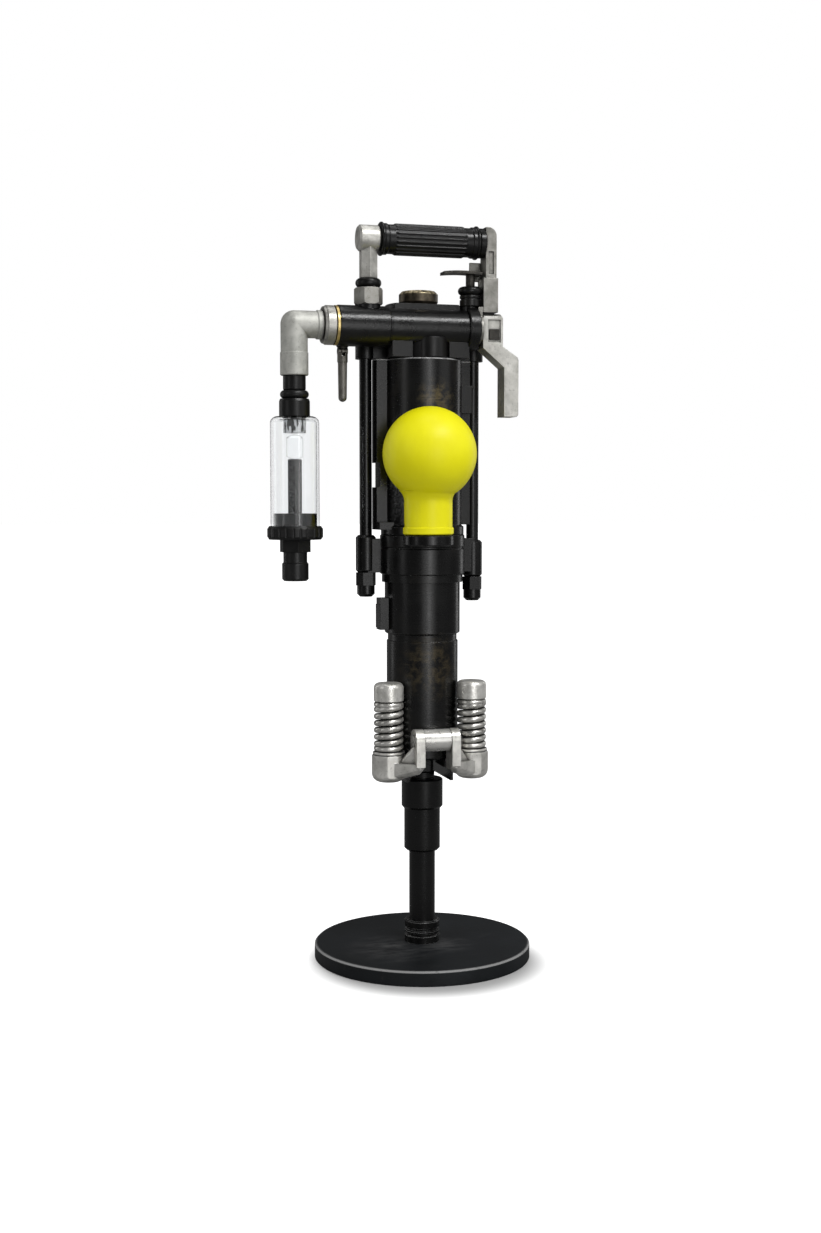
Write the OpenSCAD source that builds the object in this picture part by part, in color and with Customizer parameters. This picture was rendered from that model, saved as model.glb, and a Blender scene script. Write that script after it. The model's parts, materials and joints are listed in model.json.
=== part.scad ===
// Pneumatic rock drill standing on its steel in a round foot plate.
// Millimetres. Origin: centre of the foot plate's underside. +Z up, -Y front,
// +X towards the throttle lever.

/* [Stand and steel] */
// Radius of the foot plate
plate_r = 117.5; // [100:0.5:150]
// Thickness of the foot plate
plate_t = 16.3; // [12:0.1:24]
// Bevel on the foot plate's top rim
plate_bevel = 1.8; // [0.5:0.1:4]
// Radius of the socket on the plate
socket_r = 18.9; // [17:0.1:26]
// Height of the socket above the plate
socket_h = 24.6; // [20:0.1:45]
// Radius of the round steel
rod_r = 14.1; // [13.7:0.1:15]
// Free length of round steel between the socket and the lower sleeve
rod_show = 76.5; // [30:0.5:120]
// Radius of the lower sleeve
lower_sleeve_r = 19.5; // [17:0.1:22]
// Length of the lower sleeve
lower_sleeve_h = 46.5; // [30:0.5:70]
// Radius of the upper sleeve
upper_sleeve_r = 22.4; // [20:0.1:26]
// Length of the upper sleeve
upper_sleeve_h = 32; // [20:0.5:50]
// Length of the round shoulder above the sleeves
shoulder_h = 8.5; // [5:0.5:14]
// Bare hex between the shoulder and the collar
neck_h = 21.6; // [17.5:0.1:30]
// Radius of the forged collar
collar_r = 19; // [17:0.1:22]
// Height of the forged collar
collar_h = 12; // [8:0.5:16]
// Hexagon of the shank across its flats
shank_af = 22; // [19:0.5:23]
// Length of the shank above the collar
shank_len = 108; // [80:1:110]

/* [Front end] */
// Outer radius of the front head's lower barrel
head_low_r = 38.4; // [38:0.1:39]
// Height of the lower barrel
head_low_h = 106.7; // [100:0.5:120]
// Outer radius of the front head's upper barrel
head_up_r = 40.5; // [39.5:0.1:42]
// Height of the upper barrel with the groove under it
head_up_h = 61.3; // [58:0.5:75]
// Outer radius of the flange
flange_r = 45.5; // [44.5:0.1:47]
// Height of the flange
flange_h = 53; // [48:0.5:58]
// Sideways distance of each side rod from the axis
side_rod_x = 60; // [58:0.5:66]
// Distance of the side rods behind the axis
side_rod_y = 10.5; // [10.5:0.5:13]
// Radius of a side rod
side_rod_r = 6.6; // [6:0.1:6.8]
// Radius of the lug round a side rod
lug_r = 10.8; // [10:0.1:11]
// Height of a lug
lug_h = 40; // [34:0.5:42]
// Hexagon of a side rod nut across its flats
rod_nut_af = 19; // [18:0.5:20]
// Outer radius of the chuck
chuck_r = 27; // [25:0.1:28]
// Outer radius of the chuck bushing
bushing_r = 31; // [30:0.1:33]
// Outer radius of the chuck nut
chuck_nut_r = 30; // [28:0.1:33]

/* [Retainer] */
// Clear space between the lower barrel and the coil springs
ret_gap = 1.2; // [1:0.1:4]
// Degrees from the sideways axis to each retainer bolt, towards the front
ret_turn = 34; // [33:0.5:36]
// Outer radius of the coil springs
ret_spring_r = 15.9; // [14:0.1:16]
// Wire thickness of the coil springs
ret_wire = 6; // [5:0.1:6]
// Turns of each coil spring that work
ret_turns = 5; // [4:0.5:5]
// Height of a coil spring at rest
ret_spring_h = 53.4; // [52:0.2:60]
// Height of the caps
ret_cap_h = 19.5; // [16:0.5:26]
// Radius of the cups and their rims
cup_r = 17; // [16.5:0.1:18]
// Height of the cups below the spring seats
cup_h = 29; // [28:0.5:34]
// Radius of the retainer bolts
ret_bolt_r = 6; // [5:0.1:7]
// Clear space between the lower barrel and the spacer on the retainer pin
pin_gap = 0.9; // [0.8:0.1:3]
// Radius of the retainer pin
pin_r = 6; // [5:0.1:7]
// Radius of the spacer on the pin
spacer_r = 11.7; // [10:0.1:12]
// Length of the spacer
spacer_len = 29; // [28:0.5:34]
// Thickness of an ear
ear_t = 9.5; // [8:0.5:11]
// Travel of the retainer
ret_travel = 8; // [4:0.5:9]

/* [Cylinder] */
// Outer radius of the cylinder
cyl_r = 42; // [41:0.1:43]
// Height of the cylinder
cyl_h = 184.7; // [176:0.5:200]
// Thickness of the cylinder's wall outside the liner
cyl_wall = 6.5; // [5:0.1:8]
// Wall of the liner
liner_t = 3; // [2:0.1:4]
// Radius of the piston's stem
stem_r = 17; // [15:0.1:19]
// Height of the piston's head
piston_h = 46; // [40:0.5:52]
// Stroke of the piston
stroke = 45; // [30:1:48]
// Radius of the rifle bar's core
rifle_r = 9; // [8:0.1:9.6]
// Radius of the ball shaped silencer
ball_r = 49.5; // [48:0.1:51]
// Distance of the silencer's centre in front of the axis
ball_y = 37; // [36:0.5:38]
// Height of the silencer's centre above the flange
ball_rise = 85; // [82:0.5:95]
// Radius of the silencer's neck
neck_r = 25.5; // [24:0.1:27]
// Distance of the neck's centre in front of the axis
neck_y = 36; // [35:0.5:37]
// Wall of the silencer
ball_wall = 4; // [3:0.1:6]

/* [Back end] */
// Height of the ratchet housing
ratchet_h = 22.3; // [20:0.5:28]
// Height of the back head
back_h = 35.5; // [33:0.5:40]
// Height of the throttle bar's axis above the ratchet housing
bar_rise = 10; // [8:0.5:12]
// Distance of the throttle bar's axis in front of the main axis
bar_y = 20; // [18:0.5:22]
// Radius of the throttle bar
bar_r = 19.6; // [18:0.1:20.4]
// Radius of the inlet sleeve
sleeve_r = 21.2; // [20.5:0.1:23]
// Where the inlet sleeve meets the throttle bar
part_x = -43; // [-46:0.5:-42]
// Where the inlet sleeve ends
inlet_x = -98.5; // [-102:0.5:-97]
// Where the throttle bar ends and its cap starts
bar_end_x = 41; // [38:0.5:41]
// Thickness of the throttle cap
cap_t = 12; // [10:0.5:12]
// Radius of the throttle cap
cap_r = 23; // [21.5:0.1:24]
// Radius of the top plug
plug_r = 20.8; // [18:0.1:22]
// Height of the top plug
plug_h = 14.4; // [12:0.2:20]

/* [Handle] */
// Height of the grip's axis above the throttle bar's axis
grip_rise = 90.5; // [88:0.5:110]
// Radius of the grip
grip_r = 15.2; // [13.5:0.1:16]
// Left end of the grip
grip_x0 = -53; // [-53:0.2:-51]
// Right end of the grip
grip_x1 = 54.4; // [52:0.2:56]
// Ribs round the grip
grip_ribs = 12; // [8:1:14]
// Where the left post stands
post_x = -64.5; // [-66:0.5:-63]
// Hexagon of the left post across its flats
post_af = 17; // [16:0.5:20]
// Radius of the boss on the left post
boss_r = 13.6; // [12:0.1:14.5]
// Hexagon of the nut under the left post across its flats
post_nut_af = 27; // [24:0.5:30]
// Height of that nut
post_nut_h = 17.3; // [14:0.1:20]
// Height of the rubber ring on that nut
post_ring_h = 10.2; // [7:0.1:12]
// Thickness of the grip washer
washer_t = 7; // [6.5:0.1:8]
// Thickness of the right bracket
bracket_t = 11.8; // [10:0.1:13]

/* [Thumb trigger] */
// Where the trigger's stem stands
trig_x = 47; // [45:0.5:47]
// Radius of the trigger's stem
trig_r = 4.8; // [4:0.1:5.5]
// Height of the bushing
trig_bush_h = 12.2; // [9:0.1:14]
// Height of the rubber boot
trig_boot_h = 9; // [8:0.1:11]
// Free stem between the boot and the thumb plate
trig_free = 13; // [11:0.1:15]
// Travel of the trigger
trig_travel = 6; // [3:0.5:7]
// Length of the thumb plate to the left of the stem
thumb_len = 31; // [24:0.5:36]
// Thickness of the thumb plate
thumb_t = 3; // [2:0.1:4]
// Width of the thumb plate
thumb_w = 16; // [14:0.5:16]

/* [Levers] */
// Radius of the throttle spindle
spindle_r = 8; // [7:0.1:9]
// Side of the square on the spindle
square_af = 11; // [10:0.1:12]
// Width of the throttle lever's hub
hub_t = 22; // [18:0.5:24]
// Width of the throttle lever's arm
lever_t = 16; // [12:0.5:18]
// Depth of the throttle lever from front to back
lever_w = 22; // [20:0.5:26]
// Length of the throttle lever below its hub
lever_len = 90; // [70:1:110]
// Sideways set of the throttle lever's tip
lever_set = 23.7; // [18:0.5:28]
// Where the water lever hangs
water_x = -90.5; // [-92:0.5:-86]
// Length of the water lever
water_len = 40.5; // [35:0.5:60]
// Radius of the water lever's rod
water_r = 5.2; // [4.5:0.1:6]

/* [Inlet and oiler] */
// Thickness of the inlet gasket
gasket_t = 3.1; // [1.5:0.1:4]
// Length of the swivel nut
swivel_t = 12; // [10:0.2:15]
// Radius of the swivel nut
swivel_r = 20.3; // [19:0.1:22]
// Thickness of the elbow's flange
elbow_flange_t = 7; // [5:0.2:9]
// Radius of the elbow's tube
elbow_r = 14; // [13:0.1:15]
// Where the oiler hangs
oiler_x = -143.5; // [-152:0.5:-143]
// Radius of the elbow's lower socket
elbow_socket_r = 14.6; // [14.2:0.1:16]
// Drop from the elbow's axis to the end of its socket
elbow_drop = 52.5; // [46:0.5:60]
// Radius of the oiler's neck
oiler_neck_r = 11.75; // [10.5:0.1:12.5]
// Height of the oiler's neck
oiler_neck_h = 15; // [12:0.2:20]
// Height of the seal ring on the neck
oiler_seal_h = 9; // [6:0.2:11]
// Radius of the oiler's cap
oiler_cap_r = 15.9; // [15:0.1:18]
// Height of the oiler's cap
oiler_cap_h = 18; // [14:0.2:24]
// Radius of the clear bowl
bowl_r = 25.4; // [24:0.1:28]
// Height of the clear bowl
bowl_h = 113; // [100:0.5:125]
// Wall of the clear bowl
bowl_wall = 2.6; // [2:0.1:3.5]
// Radius of the ring nut
ring_nut_r = 29; // [28:0.1:33]
// Thickness of the ring nut
ring_nut_h = 14; // [10:0.2:16]
// Radius of the hose end
tail_r = 13.8; // [12.5:0.1:15]
// Length of the hose end
tail_h = 20; // [15:0.2:26]

/* [Hidden] */
// Facets round a circle
round_fn = 96;
// Running clearance, and the clearance between pieces that don't guide each other
run = 0.05;
gap = 0.3;
// A cut reaches this far past the face that it opens
past = 1;

// Heights up the main axis
socket_top = plate_t + socket_h;
lower_z = socket_top + rod_show;
upper_z = lower_z + lower_sleeve_h;
shoulder_z = upper_z + upper_sleeve_h;
hex_z = shoulder_z + shoulder_h;
collar_z = hex_z + neck_h;
shank_z = collar_z + collar_h;
shank_top = shank_z + shank_len;
nose_gap = 2;
head_z = shank_z + nose_gap;
groove_h = 8.3;
head_up_z = head_z + head_low_h;
flange_z = head_up_z + head_up_h;
cyl_z = flange_z + flange_h;
ratchet_z = cyl_z + cyl_h;
back_z = ratchet_z + ratchet_h;
back_top = back_z + back_h;
bar_z = back_z + bar_rise;
grip_z = bar_z + grip_rise;
hex_corner = 1 / cos(30);

// Bores that follow the cylinder
liner_r = cyl_r - cyl_wall;
bore_r = liner_r - liner_t;

// Places that follow the lower barrel
ret_reach = head_low_r + ret_gap + ret_spring_r;
ret_x = ret_reach * cos(ret_turn);
ret_y = ret_reach * sin(ret_turn);
pin_y = head_low_r + pin_gap + spacer_r;

// Outline of a turned drum with chamfered rims
function drum(r, z0, z1, c) = [[0, z0], [r - c, z0], [r, z0 + c], [r, z1 - c], [r - c, z1], [0, z1]];
// Outline of a turned pipe with chamfered outer rims
function pipe(ri, ro, z0, z1, c) = [[ri, z0], [ro - c, z0], [ro, z0 + c], [ro, z1 - c], [ro - c,
    z1], [ri, z1]];
// Points of an arc about c
function arc(c, r, a0, a1, n) = [for (i = [0 : n]) let (a = a0 + (a1 - a0) * i / n)
    c + r * [cos(a), sin(a)]];

module turn(outline) rotate_extrude($fn = round_fn) polygon(outline);
module post(r, z0, z1) translate([0, 0, z0]) cylinder(r = r, h = z1 - z0, $fn = round_fn);
module hex_post(af, z0, z1) translate([0, 0, z0])
    cylinder(r = af / 2 * hex_corner, h = z1 - z0, $fn = 6);
module along_x() rotate([0, 90, 0]) children();
module on_bar(x) translate([x, -bar_y, bar_z]) along_x() children();
module both_sides() for (side = [-1, 1]) scale_x(side) children();
module scale_x(side) if (side < 0) mirror([1, 0, 0]) children(); else children();

// Stand and steel

module foot_plate() color("#26282a")
    difference() {
        turn([[0, 0], [plate_r - plate_bevel / 2, 0], [plate_r, plate_bevel / 2],
            [plate_r, plate_t - plate_bevel], [plate_r - plate_bevel, plate_t], [0, plate_t]]);
        post(rod_r + run, plate_t - spigot_h, plate_t + past);
    }
spigot_h = 8;

module foot_socket() color("#2c2e30")
    turn([[rod_r + run, plate_t], [socket_r, plate_t], [socket_r, socket_ring_z], [socket_r - 2,
        socket_ring_z],
        [socket_r - 2, socket_ring_z + 3], [socket_r, socket_ring_z + 3], [socket_r, socket_top - 12],
        [socket_r - 2, socket_top - 11], [socket_r - 2, socket_top - 9], [socket_r, socket_top - 8],
        [socket_r, socket_top - 1.5], [socket_r - 1.5, socket_top], [rod_r + run, socket_top]]);
socket_ring_z = plate_t + socket_h * 0.3;

module drill_steel() color("#1c1d1e") {
    post(rod_r, plate_t - spigot_h, shoulder_z);
    turn(drum(shoulder_r, shoulder_z, hex_z, 1.5));
    hex_post(shank_af, hex_z, shank_top);
    turn(drum(collar_r, collar_z, shank_z, 2));
}
shoulder_r = shank_af / 2 * hex_corner + 0.65;

module lower_sleeve() color("#1c1d1e")
    turn([[rod_r + run, lower_z], [lower_sleeve_r - 2.5, lower_z], [lower_sleeve_r, lower_z + 2.5],
        [lower_sleeve_r, upper_z], [rod_r + run, upper_z]]);

module upper_sleeve() color("#1c1d1e")
    turn([[rod_r + run, upper_z], [upper_sleeve_r - 2, upper_z], [upper_sleeve_r, upper_z + 2.5],
        [upper_sleeve_r, shoulder_z - 1], [upper_sleeve_r - 1, shoulder_z], [rod_r + run, shoulder_z]]);

// Chuck

lip_t = 5;
skirt_h = 19;
skirt_z = head_z - skirt_h;
chuck_nose_r = chuck_r - 5;
chuck_top = shank_top + 6;
chuck_nut_h = 50;
chuck_nut_top = chuck_top + chuck_nut_h;
spline_w = 8;
spline_d = 2.5;

module chuck() color("#4a4c4e")
    difference() {
        union() {
            post(chuck_nose_r, shank_z, head_z + lip_t + 1);
            turn(drum(chuck_r, head_z + lip_t + gap, chuck_top, 1));
        }
        hex_post(shank_af + 2 * gap, shank_z - past, shank_top + gap);
        post(stem_r + gap, shank_top, chuck_top + past);
    }

// Flutes of the piston's stem, also cut in the chuck nut
module flutes(r, w, z0, z1)
    for (i = [0 : 3]) rotate([0, 0, 90 * i]) translate([r - spline_d, -w / 2, z0])
        cube([spline_d * 2, w, z1 - z0]);

module chuck_nut() color("#8a6a35")
    difference() {
        union() {
            turn(pipe(stem_r + gap, chuck_nut_r, chuck_top, chuck_nut_top, 1));
            intersection() {
                flutes(stem_r, spline_w - 2 * gap, chuck_top, chuck_nut_top);
                post(stem_r + 1, chuck_top, chuck_nut_top);
            }
        }
        post(stem_r - spline_d + gap, chuck_top - past, chuck_nut_top + past);
    }

// Front head

ball_x = -2.8;
neck_x = -4;

module chuck_bushing() color("#9a7434")
    turn(pipe(chuck_r + run, bushing_r, head_z + lip_t, chuck_top - 12, 1));

head_bore_top = chuck_nut_top + 1;
guide_z = head_bore_top + 8;
ear_bolt_t = 8;
ret_seat_t = 3;
ear_z = skirt_z;
seat_z = ear_z + ear_bolt_t;
spring_z = seat_z + ret_seat_t;
ret_angle = -ret_turn;
ear_bolt_r = 11;
lug_top = cyl_z - 1;
lug_z = lug_top - lug_h;

module at_retainer() both_sides() translate([ret_x, -ret_y, 0]) children();
module at_rod_end() {
    translate([-side_rod_x, side_rod_y, 0]) children();
    translate([side_rod_x, side_rod_y, -right_drop]) children();
}
right_drop = 6;
module at_side_rod() both_sides() translate([side_rod_x, side_rod_y, 0]) children();

module front_head() color("#202224")
    difference() {
        union() {
            turn([[0, skirt_z], [head_low_r - 2, skirt_z], [head_low_r, skirt_z + 2], [head_low_r,
                head_up_z],
                [head_low_r - 1.2, head_up_z + 0.6], [head_low_r - 1.2, head_up_z + groove_h - 1],
                [head_up_r - 1, head_up_z + groove_h], [head_up_r, head_up_z + groove_h + 1],
                [head_up_r, flange_z + 2], [flange_r - 2, flange_z + 2], [flange_r - 2, flange_z + 10],
                [flange_r, flange_z + 11], [flange_r, flange_z + 37], [flange_r - 1, flange_z + 38],
                [flange_r - 1, flange_z + 39], [flange_r, flange_z + 40], [flange_r, cyl_z - 1.5],
                [flange_r - 1.5, cyl_z], [0, cyl_z]]);
            // Shelf that carries the silencer's neck
            translate([neck_x, -neck_y, 0]) turn(drum(neck_r + 1.4, flange_z + 41, cyl_z, 1.5));
            // Web and lugs of the side rods
            translate([-side_rod_x, side_rod_y - lug_r + 1, lug_z])
                cube([2 * side_rod_x, 2 * lug_r - 2, lug_h - 4]);
            at_rod_end() turn(drum(lug_r, lug_z, lug_top, 2.5));
            // Ears for the retainer bolts
            both_sides() rotate([0, 0, ret_angle])
                translate([head_low_r - 6, -ear_bolt_r * 0.8, ear_z])
                cube([ret_reach - head_low_r + 6, ear_bolt_r * 1.6, ear_bolt_t]);
            at_retainer() post(ear_bolt_r, ear_z, ear_z + ear_bolt_t);
            // Blowing port boss on the left side
            translate([-port_x, -8, head_up_z + groove_h + 4]) cube([port_x - head_up_r + 6, 16, 34]);
            translate([-port_x - 1.2, -6.5, head_up_z + groove_h + 6]) cube([4, 13, 25]);
        }
        post(collar_r + 5, skirt_z - past, head_z);
        post(chuck_nose_r + gap, skirt_z, head_z + lip_t + past);
        post(bushing_r + run, head_z + lip_t, head_bore_top);
        post(stem_r + 2, head_bore_top - past, guide_z + past);
        post(guide_r + run, guide_z, cyl_z + past);
        at_side_rod() post(side_rod_r + run, lug_z - right_drop - past, cyl_z + past);
        at_retainer() post(ret_bolt_r + gap, ear_z - past, ear_z + ear_bolt_t + past);
        translate([-port_x - past, 0, head_up_z + groove_h + 18]) along_x()
            cylinder(r = 3, h = 9, $fn = 32);
    }
port_x = 49;
guide_r = bore_r + 0.5;

module stem_guide() color("#9a7434")
    turn(pipe(stem_r + run, guide_r, guide_z, cyl_z + 3, 1));

// Side rods and their nuts

rod_nut_h = 14;
rod_nub_h = 12;
rod_top = back_top - 3;
rod_low = lug_z - rod_nut_h - rod_nub_h;

module side_rods() color("#26282b") {
    at_side_rod() turn(drum(side_rod_r, lug_z - 1, rod_top - 2, 1));
    at_rod_end() post(side_rod_r, rod_low + 2, lug_z + 8);
}

module side_rod_nuts() color("#26282b")
{
    at_rod_end() difference() {
        union() {
            hex_post(rod_nut_af, lug_z - rod_nut_h, lug_z);
            turn([[0, rod_low], [rod_nut_af / 2 - 3, rod_low], [rod_nut_af / 2, rod_low + 3],
                [rod_nut_af / 2, lug_z - rod_nut_h + 1], [0, lug_z - rod_nut_h + 1]]);
        }
        post(side_rod_r + run, rod_low + 2, lug_z + past);
    }
    at_side_rod() difference() {
        hex_post(rod_nut_af, rod_top - 12, rod_top);
        post(side_rod_r + run, rod_top - 12 - past, rod_top - 2);
    }
}

// Retainer

ret_cap_r = ret_spring_r - 0.1;
cap_z = spring_z + ret_spring_h;
cup_top = seat_z - gap;
cup_z = cup_top - cup_h;
cup_hollow_z = ear_z - gap;
cup_hollow_r = ear_bolt_r + 0.5;
pin_z = skirt_z + 23.7;
ear_r = spacer_r + 0.5;
ear_x0 = spacer_len / 2 + gap;
ear_x1 = ear_x0 + ear_t;
arm_top = ear_z - gap;
fork_t = 8;
fork_z = arm_top - fork_t;
fork_slot = shoulder_r + 0.45;
fork_side = fork_slot + 7;
fork_y = -pin_y + ear_r + 3;
fork_len = -fork_y + fork_side;
fork_back = 8;
cup_wide = cup_r + 1;
web_r = 4.5;
ear_lift = 10;
cheek_in = upper_sleeve_r + 0.6;
cheek_t = 3;
cheek_y = fork_y + 6;
cheek_z = shoulder_z + 1;
cheek_len = fork_side + 19 - cheek_y;

module retainer_arms() color("#9a9a96")
    difference() {
        union() {
            // Cups round the head's ears
            at_retainer() intersection() {
                turn(concat([[0, cup_z]], arc([cup_wide - 9, cup_z + 9], 9, -90, 0, 6),
                    [[cup_wide, cup_top - 1], [cup_wide - 1, cup_top], [0, cup_top]]));
                translate([0, 0, cup_z - past]) rotate([0, 0, 22.5])
                    cylinder(r = cup_r / cos(22.5), h = cup_h + 2 * past, $fn = 8);
            }
            both_sides() {
                // Arm from the cup to the ear
                hull() {
                    translate([ret_x, -ret_y, cup_z + 5])
                        cylinder(r = cup_r - 3, h = arm_top - cup_z - 5, $fn = 32);
                    translate([ret_x, -ret_y, cup_z + 1]) cylinder(r = cup_r - 8, h = 1, $fn = 32);
                    translate([ear_x0 + ear_t / 2 + 3, -pin_y - 1, cup_z + ear_lift])
                        cylinder(r = ear_t / 2, h = 1, $fn = 32);
                    translate([ear_x0 + ear_t / 2, -pin_y + 1, cup_z + ear_lift + 6])
                        cylinder(r = ear_t / 2, h = arm_top - cup_z - ear_lift - 6, $fn = 32);
                    translate([ear_x0 + ear_t / 2, -pin_y - 6, cup_z + ear_lift + 6])
                        cylinder(r = ear_t / 2, h = arm_top - cup_z - ear_lift - 6, $fn = 32);
                }
                // Web that rises from the cup to the ear
                hull() {
                    translate([ret_x - 13, -ret_y - 12, cup_z + 8])
                        cylinder(r = web_r, h = ear_z + 1 - cup_z - 8, $fn = 32);
                    translate([ear_x0 + ear_t / 2, -pin_y, cup_z + ear_lift + 8])
                        cylinder(r = web_r, h = pin_z - 5 - cup_z - ear_lift - 8, $fn = 32);
                }
                // Ear round the pin
                translate([ear_x0, -pin_y, pin_z]) along_x()
                    cylinder(r = ear_r, h = ear_t, $fn = round_fn);
                translate([ear_x0, -pin_y - ear_r, cup_z + ear_lift + 8])
                    cube([ear_t, 2 * ear_r - 1, pin_z - cup_z - ear_lift - 8]);
                // Pad that carries the fork
                translate([ear_x0 + 1, -pin_y, fork_z]) cube([ear_t - 1, fork_y + pin_y, fork_t]);
            }
        }
        at_retainer() {
            post(cup_hollow_r, cup_hollow_z, cup_top + past);
            post(ret_bolt_r + run, cup_z + 4, cup_top);
        }
        // Slot that lets each ear of the head into its cup
        both_sides() rotate([0, 0, ret_angle])
            translate([ret_reach - cup_r - 4, -ear_bolt_r * 0.8 - 0.5, cup_hollow_z])
            cube([cup_r + 4, ear_bolt_r * 1.6 + 1, cup_h]);
        translate([-ear_x1 - past, -pin_y, pin_z]) along_x()
            cylinder(r = pin_r + run, h = 2 * ear_x1 + 2 * past, $fn = round_fn);
    }

module retainer_fork() color("#2a2b2c")
    difference() {
        union() {
            translate([-fork_side, fork_y, fork_z]) cube([2 * fork_side, fork_len, fork_t]);
            translate([-cheek_in - 1, cheek_y, fork_z])
                cube([2 * cheek_in + 2, fork_side - cheek_y, fork_t]);
            // Cheeks that hang beside the upper sleeve
            both_sides() translate([cheek_in, cheek_y, cheek_z])
                cube([cheek_t, cheek_len, fork_z + fork_t - cheek_z]);
        }
        translate([-fork_slot, fork_y - past, fork_z - past])
            cube([2 * fork_slot, fork_len - fork_back + past, fork_t + 2 * past]);
    }

module retainer_bolts() color("#6a6a68")
    at_retainer() post(ret_bolt_r, cup_z + 4, cap_z + ret_cap_h - 6);

module retainer_caps() color("#a2a29e")
    at_retainer() difference() {
        union() {
            turn(concat([[0, cap_z], [ret_cap_r - 0.8, cap_z], [ret_cap_r, cap_z + 0.8]],
                arc([ret_cap_r - 5, cap_z + ret_cap_h - 5], 5, 0, 90, 6), [[0, cap_z + ret_cap_h]]));
            post(ret_sleeve_r, spring_z + ret_travel + 2, cap_z + 1);
        }
        post(ret_bolt_r + run, spring_z, cap_z + ret_cap_h - 6);
    }
ret_sleeve_r = ret_spring_r - ret_wire - 1.2;

module retainer_pin() color("#8c8c88")
    translate([-ear_x1 - 1, -pin_y, pin_z]) along_x()
        cylinder(r = pin_r, h = 2 * ear_x1 + 2, $fn = round_fn);

module retainer_spacer() color("#a8a8a4")
    translate([-spacer_len / 2, -pin_y, pin_z]) along_x() difference() {
        cylinder(r = spacer_r, h = spacer_len, $fn = round_fn);
        translate([0, 0, -past]) cylinder(r = pin_r + run, h = spacer_len + 2 * past, $fn = round_fn);
    }

module spring_seats() color("#a2a29e")
    at_retainer() turn(pipe(ret_bolt_r + gap, cup_r, seat_z, spring_z, 0.8));

// A coil spring: straight ends, one wire thickness long, and turns between them
coil_steps = 8;
coil_sides = 6;
function coil_point(r, z0, pitch, a) = [r * cos(a), r * sin(a), z0 + pitch * a / 360];
function coil_path(r, wire, turns, h) =
    let (pitch = (h - 2 * wire) / turns)
    concat([[r, 0, 0]],
        [for (i = [0 : turns * coil_steps]) coil_point(r, wire, pitch, 360 * i / coil_steps)],
        [[r * cos(360 * turns), r * sin(360 * turns), h]]);
function unit(v) = v / norm(v);
function heading(path, i) =
    (i == 0) ? unit(path[1] - path[0])
    : (i == len(path) - 1) ? unit(path[i] - path[i - 1])
    : unit(unit(path[i + 1] - path[i]) + unit(path[i] - path[i - 1]));
// Across direction that keeps a ring from twisting: outwards from the coil's axis
function outwards(p) = unit([p[0], p[1], 0]);
function ring_points(p, t, r) =
    let (o = outwards(p), side = unit(o - (o * t) * t), up = cross(t, side))
    [for (k = [0 : coil_sides - 1]) let (a = 360 * k / coil_sides)
        p + r * (cos(a) * side + sin(a) * up)];
module tube_along(path, r) {
    points = [for (i = [0 : len(path) - 1]) each ring_points(path[i], heading(path, i), r)];
    last = (len(path) - 1) * coil_sides;
    skin = [for (i = [0 : len(path) - 2], k = [0 : coil_sides - 1], half = [0, 1])
        let (a = i * coil_sides + k, b = i * coil_sides + (k + 1) % coil_sides)
        half == 0 ? [a, a + coil_sides, b + coil_sides] : [a, b + coil_sides, b]];
    start_cap = [for (k = [1 : coil_sides - 2]) [0, k, k + 1]];
    end_cap = [for (k = [1 : coil_sides - 2]) [last, last + k + 1, last + k]];
    polyhedron(concat(points), concat(skin, start_cap, end_cap));
}
// Least gap between the turns of a coil, from its own points
function coil_gap(path, wire) =
    min([for (i = [0 : len(path) - 1], j = [i + coil_steps - 2 : 1 : len(path) - 1])
        norm(path[j] - path[i])]) - wire;
ret_coil = coil_path(ret_spring_r - ret_wire / 2, ret_wire, ret_turns, ret_spring_h);
echo(retainer_spring_least_gap = coil_gap(ret_coil, ret_wire));

module retainer_springs() color("#a2a29e")
    for (x = [-ret_x, ret_x]) translate([x, -ret_y, spring_z]) tube_along(ret_coil, ret_wire / 2);

// Cylinder and what runs in it

rib_w = 20;
rib_x = side_rod_x - side_rod_r - 0.9;
rib_y = -8;
port_r = 10;
port_z = flange_z + flange_h + ball_rise;
block_h = 34;

module cylinder_casting() color("#1e2022") difference() {
    union() {
        turn([[0, cyl_z], [cyl_r + 2.5, cyl_z], [cyl_r + 2.5, cyl_z + 8], [cyl_r, cyl_z + 10],
            [cyl_r, ratchet_z - 1], [cyl_r - 1, ratchet_z], [0, ratchet_z]]);
        // Air passage on the left, thinner in the middle
        translate([-rib_x, rib_y, cyl_z + 76]) cube([22, rib_w, cyl_h - 76]);
        translate([-rib_x + 3.5, rib_y, cyl_z + 49]) cube([18, rib_w, 28]);
        translate([-rib_x, rib_y, cyl_z + 5]) cube([22, rib_w, 45]);
        translate([-rib_x, rib_y - 12, cyl_z + 5]) cube([40, 14, 8]);
        // Passage and small box on the right
        translate([cyl_r - 8, -4, cyl_z + 10]) cube([rib_x - cyl_r + 8, 12, cyl_h - 10]);
        translate([cyl_r - 8, -14, cyl_z + 129]) cube([17, 12, 29]);
        translate([cyl_r - 8, -10, cyl_z + 156]) cube([22, 14, 2.5]);
    }
    post(liner_r + run, cyl_z - past, ratchet_z + past);
    translate([0, 0, port_z]) rotate([90, 0, 0]) cylinder(r = port_r, h = cyl_r + past, $fn = 48);
}

module liner() color("#8e8f90") difference() {
    turn(pipe(bore_r, liner_r, cyl_z + 3 + run, ratchet_z, 0.5));
    translate([0, 0, port_z]) rotate([90, 0, 0]) cylinder(r = port_r - 1, h = cyl_r + past, $fn = 48);
}

piston_z = cyl_z + 6;
piston_top = piston_z + piston_h;
rifle_rib = 2;
rifle_hole_r = rifle_r + rifle_rib + gap;
rifle_z = piston_z - 38;
nut_r = 15;

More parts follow.
